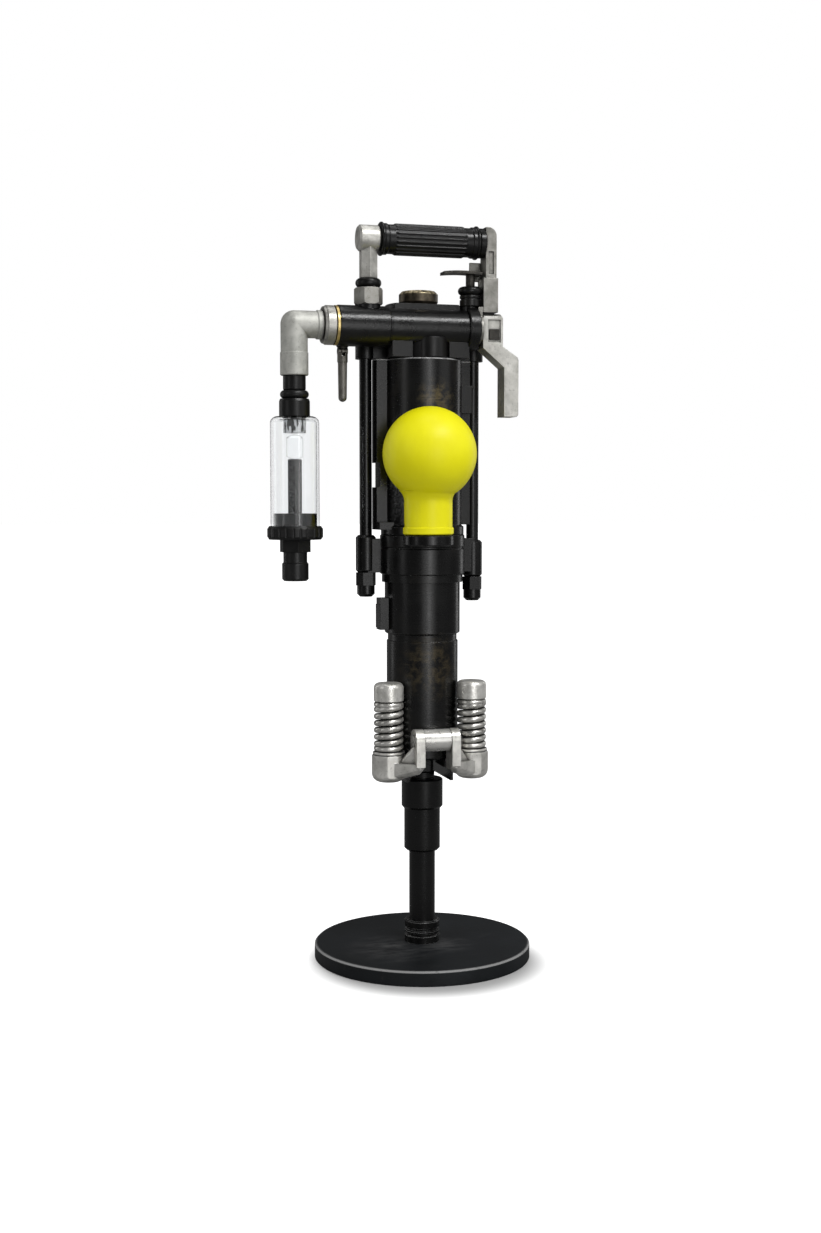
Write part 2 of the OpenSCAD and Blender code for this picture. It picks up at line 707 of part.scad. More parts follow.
module piston() color("#7c7e80")
    difference() {
        union() {
            turn(drum(bore_r - run, piston_z, piston_top, 1.5));
            turn(drum(stem_r, shank_top + gap, piston_z + 2, 1.5));
        }
        flutes(stem_r, spline_w, shank_top, chuck_nut_top + stroke + 2);
        post(rifle_hole_r + 0.7, rifle_z - stroke - 4, piston_top + past);
        post(nut_r + run, piston_top - 22, piston_top + past);
    }

module rifle_nut() color("#9a7434")
    turn(pipe(rifle_hole_r, nut_r, piston_top - 22, piston_top, 1));

block_z = ratchet_z - block_h;
ratchet_out_r = liner_r - 5.5;
ratchet_in_r = ratchet_out_r - 6;
ratchet_head_r = ratchet_in_r - 3;
ratchet_tooth = 1.6;
ratchet_t = 10;
ratchet_teeth = 24;

module valve_block() color("#7c7e80")
    turn(pipe(rifle_hole_r, bore_r - run, block_z, ratchet_z, 1));

module rifle_bar() color("#8c8e90") {
    post(rifle_r, rifle_z, ratchet_z + 2);
    translate([0, 0, rifle_z + 1])
        linear_extrude(height = block_z - rifle_z - 3, twist = 70, slices = 18)
        for (i = [0 : 3]) rotate([0, 0, 90 * i]) translate([rifle_r - 2, -2.5])
            square([rifle_rib + 2, 5]);
    difference() {
        turn(drum(ratchet_head_r, ratchet_z + gap, ratchet_z + ratchet_t, 1));
        for (i = [0 : 3]) rotate([0, 0, 90 * i]) pawl_shape(0.1);
    }
}
module pawl_shape(grow)
    translate([ratchet_head_r - 7 - grow, -4 - grow, ratchet_z + 2])
        cube([8.5 + 2 * grow, 8 + 2 * grow, ratchet_t - 2 + 10 * grow]);

module pawls() color("#a8a8a4")
    for (i = [0 : 3]) rotate([0, 0, 90 * i]) pawl_shape(0);

module ratchet_ring() color("#6a6c6e")
    difference() {
        turn(pipe(ratchet_in_r, ratchet_out_r, ratchet_z + gap, ratchet_z + ratchet_t, 1));
        for (i = [0 : ratchet_teeth - 1]) rotate([0, 0, 360 * i / ratchet_teeth])
            translate([ratchet_in_r - 1, -1.2, ratchet_z])
                cube([ratchet_tooth + 1, 2.4, ratchet_t + past]);
    }

house_r = cyl_r - 7;
module ratchet_housing() color("#202224")
    difference() {
        union() {
            turn(drum(house_r, ratchet_z, back_z, 0.8));
            translate([3, -house_r + 12, 0]) turn(drum(17.5, ratchet_z + 0.5, back_z, 1));
            both_sides() translate([house_r - 15, -house_r + 2, ratchet_z + 1])
                cube([22, 20, ratchet_h - 1]);
            at_side_rod() post(lug_r, ratchet_z + 1, back_z);
            translate([-side_rod_x, side_rod_y - lug_r + 2, ratchet_z + 1])
                cube([2 * side_rod_x, 2 * lug_r - 4, ratchet_h - 1]);
        }
        post(ratchet_out_r + run, ratchet_z - past, ratchet_z + ratchet_t + 1);
        bar_ends_cut();
        on_bar(part_x - past) cylinder(r = bar_r + run, h = bar_end_x - part_x + 2 * past,
            $fn = round_fn);
        at_side_rod() post(side_rod_r + run, ratchet_z - past, back_z + past);
    }

// Silencer: a ball on a neck, open at the back to the cylinder's port

// Fillet that touches both the neck and the ball
neck_fillet = 14;
fillet_z = port_z - sqrt(pow(ball_r + neck_fillet, 2) - pow(neck_r + neck_fillet, 2));
fillet_end = 180 - atan2(port_z - fillet_z, neck_r + neck_fillet);
module silencer_outer(inset) {
    translate([ball_x, -ball_y, port_z]) sphere(r = ball_r - inset, $fn = round_fn);
    translate([neck_x, -neck_y, 0]) {
        post(neck_r - inset, cyl_z + 8 + (inset > 0 ? -past * 12 : 0), port_z - ball_r * 0.6);
        if (inset == 0) turn(drum(neck_r + 1.4, cyl_z + gap, cyl_z + 8, 1));
        if (inset == 0) turn(concat([[0, port_z - ball_r * 0.5], [0, fillet_z - neck_fillet]],
            arc([neck_r + neck_fillet, fillet_z], neck_fillet, 180, fillet_end, 8)));
    }
}
module silencer() color("#e8e21a")
    difference() {
        silencer_outer(0);
        silencer_outer(ball_wall);
        post(cyl_r + gap, cyl_z + 9, ratchet_z);
        post(cyl_r + 2.5 + gap, cyl_z - past, cyl_z + 12);
        translate([cyl_r - 9, -15, port_z - 3]) cube([19, 14, 90]);
        translate([-rib_x - 1, rib_y - 13, cyl_z]) cube([43, 32, 14]);
        translate([-rib_x, rib_y - gap, cyl_z]) cube([23, rib_w, cyl_h]);
    }

// Back head and the throttle bar

bar_hole_r = 12;
nut_z = bar_z + sleeve_r + 0.8;
trig_z = bar_z + cap_r + gap;
spigot_r = 7.5;
spigot_l = 13.5;
cap_x = bar_end_x + cap_t;
lug_h_top = back_top - 15;
plug_spigot = 14;

module on_trigger() translate([trig_x, -bar_y, 0]) children();
module on_post() translate([post_x, -bar_y, 0]) children();

// Room for the inlet sleeve and the throttle cap beside the castings
module bar_ends_cut() {
    on_bar(inlet_x) cylinder(r = sleeve_r + gap, h = part_x - inlet_x, $fn = round_fn);
    on_bar(bar_end_x) cylinder(r = cap_r + gap, h = cap_t + side_rod_x, $fn = round_fn);
}

module back_head() color("#202224")
    difference() {
        union() {
            intersection() {
                turn(drum(cyl_r - 1, back_z, back_top, 1.5));
                translate([-cyl_r, -bar_y, back_z]) cube([2 * cyl_r, cyl_r + bar_y, back_h]);
            }
            on_bar(part_x) cylinder(r = bar_r, h = bar_end_x - part_x, $fn = round_fn);
            // Shoulder between the bar and the head
            translate([part_x, -bar_y, back_z + 2])
                cube([bar_end_x - part_x, bar_y, bar_rise + bar_r - 3]);
            at_side_rod() post(lug_r, back_z, lug_h_top);
            translate([-side_rod_x, side_rod_y - lug_r + 2, back_z])
                cube([2 * side_rod_x, 2 * lug_r - 4, lug_h_top - back_z]);
            // Pad under the trigger's bushing
            intersection() {
                on_trigger() post(trig_bush_r - 1, bar_z, trig_z);
                translate([0, -2 * bar_y, bar_z]) cube([bar_end_x, 2 * bar_y, 2 * cap_r]);
            }
        }
        bar_ends_cut();
        on_bar(part_x - past) cylinder(r = bar_hole_r, h = bar_end_x - part_x + 2 * past,
            $fn = round_fn);
        on_trigger() {
            post(spigot_r + run, trig_z - spigot_l - gap, trig_z + past);
            post(trig_bush_r + gap, trig_z, trig_z + back_h);
        }
        translate([plug_x, 0, 0]) post(plug_r - 4 + run, back_top - plug_spigot, back_top + past);
        at_side_rod() post(side_rod_r + run, back_z - past, back_top + past);
        at_side_rod() post(rod_nut_af / 2 * hex_corner + gap, lug_h_top, back_top + past);
    }

plug_x = -4.5;
module top_plug() color("#5c5240") translate([plug_x, 0, 0])
    difference() {
        union() {
            turn(drum(plug_r, back_top, back_top + plug_h, 3));
            post(plug_r - 4, back_top - plug_spigot + gap, back_top + 1);
        }
        hex_post(plug_hex, back_top + plug_h - 9, back_top + plug_h + past);
    }
plug_hex = 17;

module inlet_sleeve() color("#242628")
    difference() {
        union() {
            on_bar(inlet_x) turn([[0, 0], [sleeve_r - 0.6, 0], [sleeve_r, 0.6], [sleeve_r,
                part_x - inlet_x - 2.5],
                [sleeve_r - 1.6, part_x - inlet_x - 1.5], [sleeve_r - 1.6, part_x - inlet_x],
                [0, part_x - inlet_x]]);
            on_post() post(post_nut_af / 2 - 1, bar_z, nut_z);
            translate([water_x, -water_y, bar_z - sleeve_r])
                cylinder(r = water_r + 1, h = 12, $fn = 48);
        }
        on_bar(inlet_x - past) cylinder(r = bar_hole_r + 1, h = part_x - inlet_x + 2 * past,
            $fn = round_fn);
        on_post() post(post_shank_r + run, bar_z + bar_hole_r - 4, nut_z + past);
    }

// Handle

post_shank_r = 7;
post_ring_z = nut_z + post_nut_h;
post_z = post_ring_z + post_ring_h;
boss_x0 = post_x - 11.5;
bolt_r = 6.5;
grip_len = grip_x1 - grip_x0;
bracket_x = grip_x1 + washer_t;

module on_grip(x) translate([x, -bar_y, grip_z]) along_x() children();

module post_nut() color("#8e8e8a")
    on_post() difference() {
        intersection() {
            hex_post(post_nut_af, nut_z, post_ring_z);
            turn(drum(post_nut_af / 2 * hex_corner - 0.2, nut_z, post_ring_z, 1.6));
        }
        post(post_shank_r + run, nut_z - past, post_ring_z + past);
    }

module post_ring() color("#1a1b1c")
    on_post() turn(concat([[post_shank_r + run, post_ring_z]],
        arc([post_nut_af / 2 - 5, post_ring_z + post_ring_h / 2], post_ring_h / 2, -90, 90, 10),
        [[post_shank_r + run, post_z]]));

module left_post() color("#9c9c98")
    difference() {
        union() {
            on_post() {
                post(post_shank_r, bar_z + bar_hole_r - 3, post_z + 1);
                rotate([0, 0, 30]) hex_post(post_af, post_z, grip_z);
            }
            on_grip(boss_x0) turn(drum(boss_r, 0, grip_x0 - boss_x0, 2));
        }
        on_grip(boss_x0 + 6) cylinder(r = bolt_r + run, h = grip_x0 - boss_x0, $fn = round_fn);
    }

module grip_bolt() color("#77787a")
    on_grip(boss_x0 + 6.5) cylinder(r = bolt_r, h = bracket_x + bracket_t - 5 - boss_x0 - 6.5,
        $fn = round_fn);

module grip() color("#1b1c1e")
    on_grip(grip_x0) difference() {
        union() {
            turn(concat([[0, 0]], arc([grip_r + 0.6, 1.8], 1.7, -90, 60, 6),
                [[grip_r + 1, 4.2], [grip_r + 1, 7.5], [grip_r, 8.5], [grip_r, grip_len - 8.5],
                [grip_r + 1, grip_len - 7.5], [grip_r + 1, grip_len - 4.2]],
                arc([grip_r + 0.6, grip_len - 1.8], 1.7, -60, 90, 6), [[0, grip_len]]));
            for (i = [0 : grip_ribs - 1]) rotate([0, 0, 360 * i / grip_ribs])
                translate([grip_r - 1, -1.9, 18]) cube([1.9, 3.8, grip_len - 30]);
        }
        translate([0, 0, -past]) cylinder(r = bolt_r + run, h = grip_len + 2 * past, $fn = round_fn);
    }

module grip_washer() color("#8c8c88")
    on_grip(grip_x1) turn(pipe(bolt_r + run, grip_r + 0.3, 0, washer_t, 1));

bracket_w = 19;
bracket_over = 16;
bracket_top = grip_z + bracket_over;
bracket_round = 9;
eye_t = 4.5;
eye_x = cap_x + gap;
lever_x = eye_x + eye_t + gap;
hub_r = 17;
eye_r = 16;
step_drop = 38;
step_z = grip_z - step_drop;
trig_bush_r = 11.2;
leg_x = trig_x + trig_bush_r + 0.6;
leg_z = bar_z + hub_r + 0.6;
leg_w = 16;
web_w = 3;

module on_side(z) translate([0, -bar_y + z / 2, 0]) rotate([90, 0, 0]) linear_extrude(height = z)
    children();

module right_bracket() color("#9c9c98")
    difference() {
        union() {
            // Upper column with a rounded top
            on_side(bracket_w) polygon(concat([[bracket_x, step_z], [bracket_x + bracket_t, step_z]],
                arc([bracket_x + bracket_t - bracket_round, bracket_top - bracket_round],
                    bracket_round, 0, 90, 8),
                [[bracket_x, bracket_top]]));
            // Foot beside the trigger, and the eye round the spindle
            translate([leg_x, -bar_y - bracket_w / 2 - 0.6, leg_z])
                cube([leg_w, bracket_w + 1.2, step_z - leg_z + 1]);
            translate([eye_x, -bar_y - bracket_w / 2, leg_z])
                cube([leg_x - eye_x + 1, bracket_w, trig_z - gap - leg_z]);
            translate([eye_x, -bar_y - bracket_w / 2, bar_z])
                cube([eye_t, bracket_w, trig_z - gap - bar_z]);
            on_bar(eye_x) cylinder(r = eye_r, h = eye_t, $fn = round_fn);
            // Web behind the thumb plate
            translate([bracket_x - 12, -bar_y + bracket_w / 2 - web_w + 2, step_z - 1])
                cube([14, web_w, grip_z - grip_r - 3 - step_z]);
            translate([bracket_x, -bar_y + bracket_w / 2 - web_w, step_z - 1]) cube([2, web_w + 2, 20]);
        }
        on_trigger() post(trig_bush_r + 2.2, boot_z - 0.5, boot_top + trig_free);
        // Sunk panel in the front of the column
        translate([bracket_x + 3, -bar_y - bracket_w / 2 - past, step_z + 5])
            cube([bracket_t - 6, past + 1.5, 24]);
        on_grip(bracket_x - past) cylinder(r = bolt_r + run, h = bracket_t - 4, $fn = round_fn);
        on_bar(eye_x - past) cylinder(r = spindle_r + gap, h = eye_t + 2 * past, $fn = round_fn);
        on_trigger() post(spigot_r + gap, trig_z - spigot_l - gap, trig_z + past);
    }

// Throttle

spindle_x = part_x + 12;

module throttle_cap() color("#1c1d1f")
    difference() {
        union() {
            on_bar(bar_end_x) turn(drum(cap_r, 0, cap_t, 1));
            on_bar(bar_end_x - 4) cylinder(r = bar_hole_r - run, h = 5, $fn = round_fn);
        }
        on_bar(bar_end_x - 5) cylinder(r = spindle_r + run, h = cap_t + 6, $fn = round_fn);
        on_trigger() post(trig_bush_r + gap, trig_z, trig_z + cap_r);
        on_trigger() post(spigot_r + gap, trig_z - spigot_l - gap, trig_z + past);
    }

plug_x0 = part_x + 12;
plug_x1 = trig_x - spigot_r - 1.5;
module throttle_spindle() color("#8a8b8c")
    difference() {
        union() {
            on_bar(plug_x0) cylinder(r = bar_hole_r - run, h = bar_end_x - 4 - gap - plug_x0,
                $fn = round_fn);
            on_bar(plug_x0) cylinder(r = spindle_r, h = lever_x - gap / 2 - plug_x0, $fn = round_fn);
            translate([lever_x - 1, -bar_y - square_af / 2, bar_z - square_af / 2])
                cube([hub_t - 3, square_af, square_af]);
        }
        // Groove that clears the trigger's bushing, and the air way through the plug
        on_bar(plug_x1) difference() {
            cylinder(r = bar_hole_r + past, h = bar_end_x - plug_x1, $fn = round_fn);
            cylinder(r = spindle_r, h = bar_end_x - plug_x1, $fn = round_fn);
        }
        translate([plug_x0 + 20, -bar_y, bar_z - bar_hole_r - past])
            cylinder(r = 6, h = 2 * bar_hole_r + 2 * past, $fn = 48);
        // Notch for the clamp bolt
        on_clamp() cylinder(r = clamp_r + run, h = 2 * lever_w, $fn = 48);
    }

// Clamp bolt of the lever: runs from front to back, past the spindle's flat
clamp_r = 3;
clamp_head = 11;
clamp_rise = square_af / 2;
module on_clamp() translate([lever_x + hub_t / 2 + 1.5, -bar_y - lever_w / 2 + 1,
    bar_z - clamp_rise]) rotate([-90, 0, 0]) children();

// Falls of the lever's outline below the hub
root_out = 1;
root_in = 3;
knee_up = 12;
knee_low = 15;
bend_in = 23;
lever_tip = -lever_len - 2;
lever_in = lever_x + lever_set;
lever_out = lever_in + lever_t;
module throttle_lever() color("#a4a4a0")
    difference() {
        union() {
            intersection() {
                on_bar(lever_x) turn(drum(hub_r, 0, hub_t, 1.2));
                translate([lever_x, -bar_y - lever_w / 2, bar_z - hub_r])
                    cube([hub_t, lever_w, 2 * hub_r]);
            }
            translate([0, -bar_y + lever_w / 2, bar_z]) rotate([90, 0, 0])
                linear_extrude(height = lever_w) polygon([[lever_x, -6], [lever_x + hub_t, -6],
                    [lever_x + hub_t, -hub_r - root_out], [lever_out - 1, -hub_r - knee_up],
                    [lever_out, -hub_r - knee_low],
                    [lever_out, lever_tip + 2], [lever_out - 2, lever_tip],
                    [lever_in, lever_tip], [lever_in, -hub_r - bend_in],
                    [lever_x, -hub_r - root_in]]);
        }
        // Square hole for the spindle
        translate([lever_x - past, -bar_y - square_af / 2 - 0.2, bar_z - square_af / 2 - 0.2])
            cube([hub_t - 2 + past, square_af + 0.4, square_af + 0.4]);
        // Sunk panel round the clamp bolt in the front face, and the bolt's hole
        translate([lever_x + 5.5, -bar_y - lever_w / 2 - past, bar_z - hub_r + 3])
            cube([hub_t - 8, past + 1.5, 2 * hub_r - 10]);
        on_clamp() cylinder(r = clamp_r + run, h = lever_w, $fn = 48);
    }

module throttle_bolt() color("#4a4b4c")
    on_clamp() {
        translate([-clamp_head / 2, -clamp_head / 2, -1]) cube([clamp_head, clamp_head, 1.5]);
        cylinder(r = clamp_r, h = lever_w - 2, $fn = 48);
    }

// Water valve and its lever

water_y = 12;
water_z = bar_z - sleeve_r - 4.5;

module water_valve() color("#a0a09c")
    difference() {
        union() {
            translate([water_x, -water_y, water_z + 4])
                cylinder(r = water_r + 0.4, h = bar_z - sleeve_r - water_z - 4, $fn = 48);
            translate([water_x - 1.6, -water_y, water_z]) along_x()
                cylinder(r = 4.2, h = 3.2, $fn = 48);
            translate([water_x - 1.6, -water_y - 3, water_z]) cube([3.2, 6, 4.3]);
        }
        translate([water_x - 3, -water_y, water_z]) along_x() cylinder(r = 1.6, h = 6, $fn = 32);
    }

module water_lever() color("#a0a09c") {
    difference() {
        union() {
            translate([water_x - water_r, -water_y, water_z]) along_x()
                cylinder(r = 3.8, h = 2 * water_r, $fn = 48);
            translate([water_x, -water_y, 0]) turn(drum(water_r + 0.3, water_z - 12, water_z - 1, 0.8));
        }
        translate([water_x - 1.9, -water_y - 7, water_z - 5]) cube([3.8, 14, 14]);
    }
    translate([water_x - water_r, -water_y, water_z]) along_x()
        cylinder(r = 1.55, h = 2 * water_r, $fn = 32);
    translate([water_x, -water_y, water_z - 12 - water_len]) rotate_extrude($fn = 48)
        polygon(concat(arc([0, water_r - 0.8], water_r - 0.8, -90, 0, 6), [[water_r - 0.3,
            water_len + 1], [0, water_len + 1]]));
}

// Thumb trigger

chamber_r = 6;
trig_spring_h = 14;
trig_spring_z = trig_z - spigot_l + 2;
stem_z = trig_spring_z + trig_spring_h;
boot_z = trig_z + trig_bush_h;
boot_top = boot_z + trig_boot_h;
thumb_z = boot_top + trig_free;
thumb_curve = 190;
thumb_right = 11;

module trigger_bushing() color("#2c2e30")
    on_trigger() difference() {
        union() {
            turn([[0, trig_z], [trig_bush_r - 1, trig_z], [trig_bush_r, trig_z + 1], [trig_bush_r,
                trig_z + 7],
                [trig_bush_r - 1.2, trig_z + 7.6], [trig_bush_r - 1.2, trig_z + 8.6], [trig_bush_r,
                    trig_z + 9.2],
                [trig_bush_r, boot_z - 0.8], [trig_bush_r - 0.8, boot_z], [0, boot_z]]);
            post(spigot_r, trig_z - spigot_l, trig_z + 1);
        }
        post(chamber_r, trig_spring_z, stem_z + 1);
        post(trig_r + run, stem_z, boot_z + past);
    }

module trigger_boot() color("#151617")
    on_trigger() turn(concat([[trig_r + run, boot_z]],
        arc([trig_bush_r - 2.6, boot_z + trig_boot_h / 2], trig_boot_h / 2, -90, 90, 10),
        [[trig_r + run, boot_top]]));

trig_coil = coil_path(chamber_r - 1.2, 1.2, 5, trig_spring_h);
echo(trigger_spring_least_gap = coil_gap(trig_coil, 1.2));
module trigger_spring() color("#a2a29e")
    on_trigger() translate([0, 0, trig_spring_z]) tube_along(trig_coil, 0.6);

module thumb_trigger() color("#242628") {
    on_trigger() post(trig_r, stem_z, thumb_z + 1);
    intersection() {
        translate([trig_x - 9, -bar_y + thumb_w / 2, thumb_z + thumb_t - thumb_curve])
            rotate([90, 0, 0]) difference() {
            cylinder(r = thumb_curve, h = thumb_w, $fn = 180);
            translate([0, 0, -past]) cylinder(r = thumb_curve - thumb_t, h = thumb_w + 2 * past,
                $fn = 180);
        }
        translate([trig_x - thumb_len, -bar_y - thumb_w, thumb_z - 12])
            cube([thumb_len + thumb_right, 2 * thumb_w, 24]);
    }
}

// Inlet

gasket_x = inlet_x - gasket_t;
swivel_x = gasket_x - gap - swivel_t;
elbow_x = swivel_x - elbow_flange_t;
elbow_z = bar_z - elbow_drop;
air_r = 8;

module inlet_gasket() color("#b08a3c")
    on_bar(gasket_x) turn(pipe(bar_hole_r + 1, sleeve_r - 0.6, 0, gasket_t, 0.3));

module swivel_nut() color("#8e8f8c")
    on_bar(swivel_x) turn([[air_r + 1.5 + run, 0], [swivel_r - 1.4, 0], [swivel_r - 0.8, 2.2],
        [swivel_r, 3],
        [swivel_r, swivel_t - 1], [swivel_r - 1, swivel_t], [air_r + 1.5 + run, swivel_t]]);

module elbow() color("#848582")
    difference() {
        union() {
            on_bar(elbow_x) turn(drum(elbow_r + 1, 0, elbow_flange_t, 1.2));
            on_bar(oiler_x) cylinder(r = elbow_r, h = elbow_x - oiler_x + 1, $fn = round_fn);
            on_bar(elbow_x) cylinder(r = air_r + 1.5, h = elbow_flange_t + swivel_t - 1,
                $fn = round_fn);
            translate([oiler_x, -bar_y, bar_z]) sphere(r = elbow_r, $fn = round_fn);
            translate([oiler_x, -bar_y, 0]) {
                post(elbow_r, elbow_z + 23, bar_z);
                turn(drum(elbow_socket_r, elbow_z, elbow_z + 24, 0.8));
            }
        }
        on_bar(oiler_x) cylinder(r = air_r, h = elbow_x - oiler_x + elbow_flange_t + swivel_t,
            $fn = round_fn);
        translate([oiler_x, -bar_y, 0]) {
            post(air_r, elbow_z, bar_z);
            post(oiler_neck_r - 2 + run, elbow_z - past, elbow_z + 12);
        }
    }

// Oiler

neck_z = elbow_z - oiler_neck_h;
seal_z = neck_z - oiler_seal_h;
cap_low_z = seal_z - oiler_cap_h;
bowl_z = cap_low_z - bowl_h;
ring_low_z = bowl_z - ring_nut_h;
dome_top = cap_low_z - 19;
dome_h = 25;
dome_r = 8.6;
wick_r = 7.2;
inner_ring_h = 13;
tail_hex_h = 13;
tail_neck_h = 10;
tail_z = ring_low_z - tail_hex_h - tail_neck_h - tail_h;

module on_oiler() translate([oiler_x, -bar_y, 0]) children();

module oiler_head() color("#1c1d1f")
    on_oiler() difference() {
        union() {
            post(oiler_neck_r - 2, neck_z, elbow_z + 11);
            turn(drum(oiler_neck_r, neck_z, elbow_z, 0.8));
            post(oiler_neck_r - 1.5, cap_low_z + 2, neck_z + 2);
            turn([[0, cap_low_z], [oiler_cap_r, cap_low_z], [oiler_cap_r, seal_z - 2.5],
                [oiler_cap_r - 1, seal_z], [0, seal_z]]);
            post(bowl_mouth_r - gap, cap_low_z - 17, cap_low_z + 1);
        }
        post(4, dome_top - past, elbow_z + 12);
    }
bowl_mouth_r = 12;

module oiler_seal() color("#17181a")
    on_oiler() turn(concat([[oiler_neck_r - 1.5 + run, seal_z]],
        arc([oiler_cap_r - 1 - oiler_seal_h / 2, seal_z + oiler_seal_h / 2], oiler_seal_h / 2, -90,
            90, 10),
        [[oiler_neck_r - 1.5 + run, neck_z]]));

bowl_round = 7;
module oiler_bowl() color("#e8eef2a0")
    on_oiler() turn(concat([[bowl_r - bowl_wall, bowl_z], [bowl_r, bowl_z]],
        arc([bowl_r - bowl_round, cap_low_z - bowl_round], bowl_round, 0, 90, 8),
        [[bowl_mouth_r, cap_low_z], [bowl_mouth_r, cap_low_z - bowl_wall]],
        arc([bowl_r - bowl_round, cap_low_z - bowl_round], bowl_round - bowl_wall, 90, 0, 8)));

module sight_dome() color("#f0f4f6c0")
    on_oiler() intersection() {
        translate([0, 0, dome_top - dome_h / 2]) sphere(r = dome_h / 2 + 0.4, $fn = round_fn);
        post(dome_r, dome_top - dome_h, dome_top + 1.7);
    }

module oiler_wick() color("#3a3c3e")
    on_oiler() turn(drum(wick_r, bowl_z + inner_ring_h - 2, dome_top - dome_h, 0.8));

module oiler_ring_nut() color("#17181a")
    on_oiler() difference() {
        union() {
            turn([[0, ring_low_z], [ring_nut_r - 2, ring_low_z], [ring_nut_r, ring_low_z + 3],
                [ring_nut_r, bowl_z - 3], [ring_nut_r - 2, bowl_z], [0, bowl_z]]);
            post(bowl_r - bowl_wall - gap, bowl_z - 1, bowl_z + inner_ring_h);
        }
        for (i = [0 : 23]) rotate([0, 0, 15 * i]) translate([ring_nut_r + 0.6, 0, ring_low_z - past])
            cylinder(r = 1.6, h = ring_nut_h + 2 * past, $fn = 24);
        post(wick_r + run, bowl_z + inner_ring_h - 2, bowl_z + inner_ring_h + past);
        post(4, ring_low_z - past, bowl_z + inner_ring_h);
    }

module oiler_tail() color("#1c1d1f")
    on_oiler() difference() {
        union() {
            rotate([0, 0, 30]) hex_post(29, ring_low_z - tail_hex_h, ring_low_z);
            post(tail_r - 1.4, tail_z + tail_h - 1, ring_low_z - tail_hex_h + 1);
            turn(drum(tail_r, tail_z, tail_z + tail_h, 2));
        }
        post(4, tail_z + 20, ring_low_z + past);
        post(air_r, tail_z - past, tail_z + 21);
    }

foot_plate();
foot_socket();
drill_steel();
lower_sleeve();
upper_sleeve();
chuck();
chuck_nut();
chuck_bushing();
front_head();
retainer_arms();
retainer_fork();
retainer_bolts();
retainer_caps();
retainer_pin();
retainer_spacer();
spring_seats();
retainer_springs();
cylinder_casting();  // cylinder
liner();
stem_guide();
piston();
rifle_nut();
rifle_bar();
pawls();
valve_block();
ratchet_ring();
ratchet_housing();
silencer();
side_rods();
side_rod_nuts();
back_head();
top_plug();
inlet_sleeve();
inlet_gasket();
swivel_nut();
elbow();
throttle_cap();
throttle_spindle();
throttle_lever();
throttle_bolt();
water_valve();
water_lever();
post_nut();
post_ring();
left_post();
grip_bolt();
grip();
grip_washer();
right_bracket();
trigger_bushing();
trigger_boot();
trigger_spring();
thumb_trigger();
oiler_head();
oiler_seal();
oiler_bowl();
sight_dome();
oiler_wick();
oiler_ring_nut();
oiler_tail();
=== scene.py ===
# %% [markdown]
# A pneumatic rock drill, dressed in Blender
#
# The packed model already has every solid in its true place, in metres. This lesson adds what a
# photograph shows and a solid doesn't: paint, cast skin, wear, clear plastic, soft light, and a
# few pieces that are finer here than in the solid model.

# %% Load the frame and keep its size
import json
import math
import bmesh
import bpy
from mathutils import Matrix, Vector

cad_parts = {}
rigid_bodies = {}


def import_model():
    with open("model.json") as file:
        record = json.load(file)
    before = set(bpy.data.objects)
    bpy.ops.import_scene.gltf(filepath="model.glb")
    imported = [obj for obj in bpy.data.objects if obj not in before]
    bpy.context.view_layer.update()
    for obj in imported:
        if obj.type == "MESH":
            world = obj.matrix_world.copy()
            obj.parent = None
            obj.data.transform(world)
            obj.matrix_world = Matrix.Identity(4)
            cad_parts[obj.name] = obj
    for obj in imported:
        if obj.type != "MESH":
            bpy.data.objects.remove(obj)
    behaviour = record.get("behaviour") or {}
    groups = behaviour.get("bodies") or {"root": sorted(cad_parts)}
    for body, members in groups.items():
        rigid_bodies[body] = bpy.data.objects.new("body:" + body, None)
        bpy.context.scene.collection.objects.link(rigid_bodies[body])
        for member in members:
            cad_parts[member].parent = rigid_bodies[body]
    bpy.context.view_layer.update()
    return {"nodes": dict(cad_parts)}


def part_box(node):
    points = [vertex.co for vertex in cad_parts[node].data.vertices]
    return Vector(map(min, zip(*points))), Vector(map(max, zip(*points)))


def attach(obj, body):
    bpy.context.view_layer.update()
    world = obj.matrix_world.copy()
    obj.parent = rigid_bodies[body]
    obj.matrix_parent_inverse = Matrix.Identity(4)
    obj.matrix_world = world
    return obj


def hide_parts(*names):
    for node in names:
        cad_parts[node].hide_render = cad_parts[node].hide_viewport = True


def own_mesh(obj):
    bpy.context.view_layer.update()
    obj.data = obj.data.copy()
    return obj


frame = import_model()
scene = bpy.context.scene
nodes_by_name = frame["nodes"]

# %% [markdown]
# The camera comes first, because every look is judged through it. The photograph was taken a little
# above the middle of the drill, from the front and a little to its left, with a lens long enough
# to keep the uprights nearly parallel.

# %% Place the camera
FOCAL_MM = 45.79
SENSOR_MM = 36.0
NEAREST_SEEN = 0.05
CAMERA_PLACE = (-0.4780, -1.6212, 0.4975)
CAMERA_TURN = (math.radians(85.75), 0.0, math.radians(-16.0))

lens = bpy.data.cameras.new("photo_camera")
lens.lens = FOCAL_MM
lens.sensor_width = SENSOR_MM
lens.clip_start = NEAREST_SEEN
camera = bpy.data.objects.new("photo_camera", lens)
camera.location = CAMERA_PLACE
camera.rotation_euler = CAMERA_TURN
scene.collection.objects.link(camera)
scene.camera = camera
print("camera at", CAMERA_PLACE)

# %% [markdown]
# Finishes, the floor and the grown pieces are all trees of nodes. They need the same few steps: a
# sum or a product, a ramp that turns a number into a share, and a distance to a spot. One small
# class gives these steps short names, for a material's tree as for a Geometry Nodes tree.

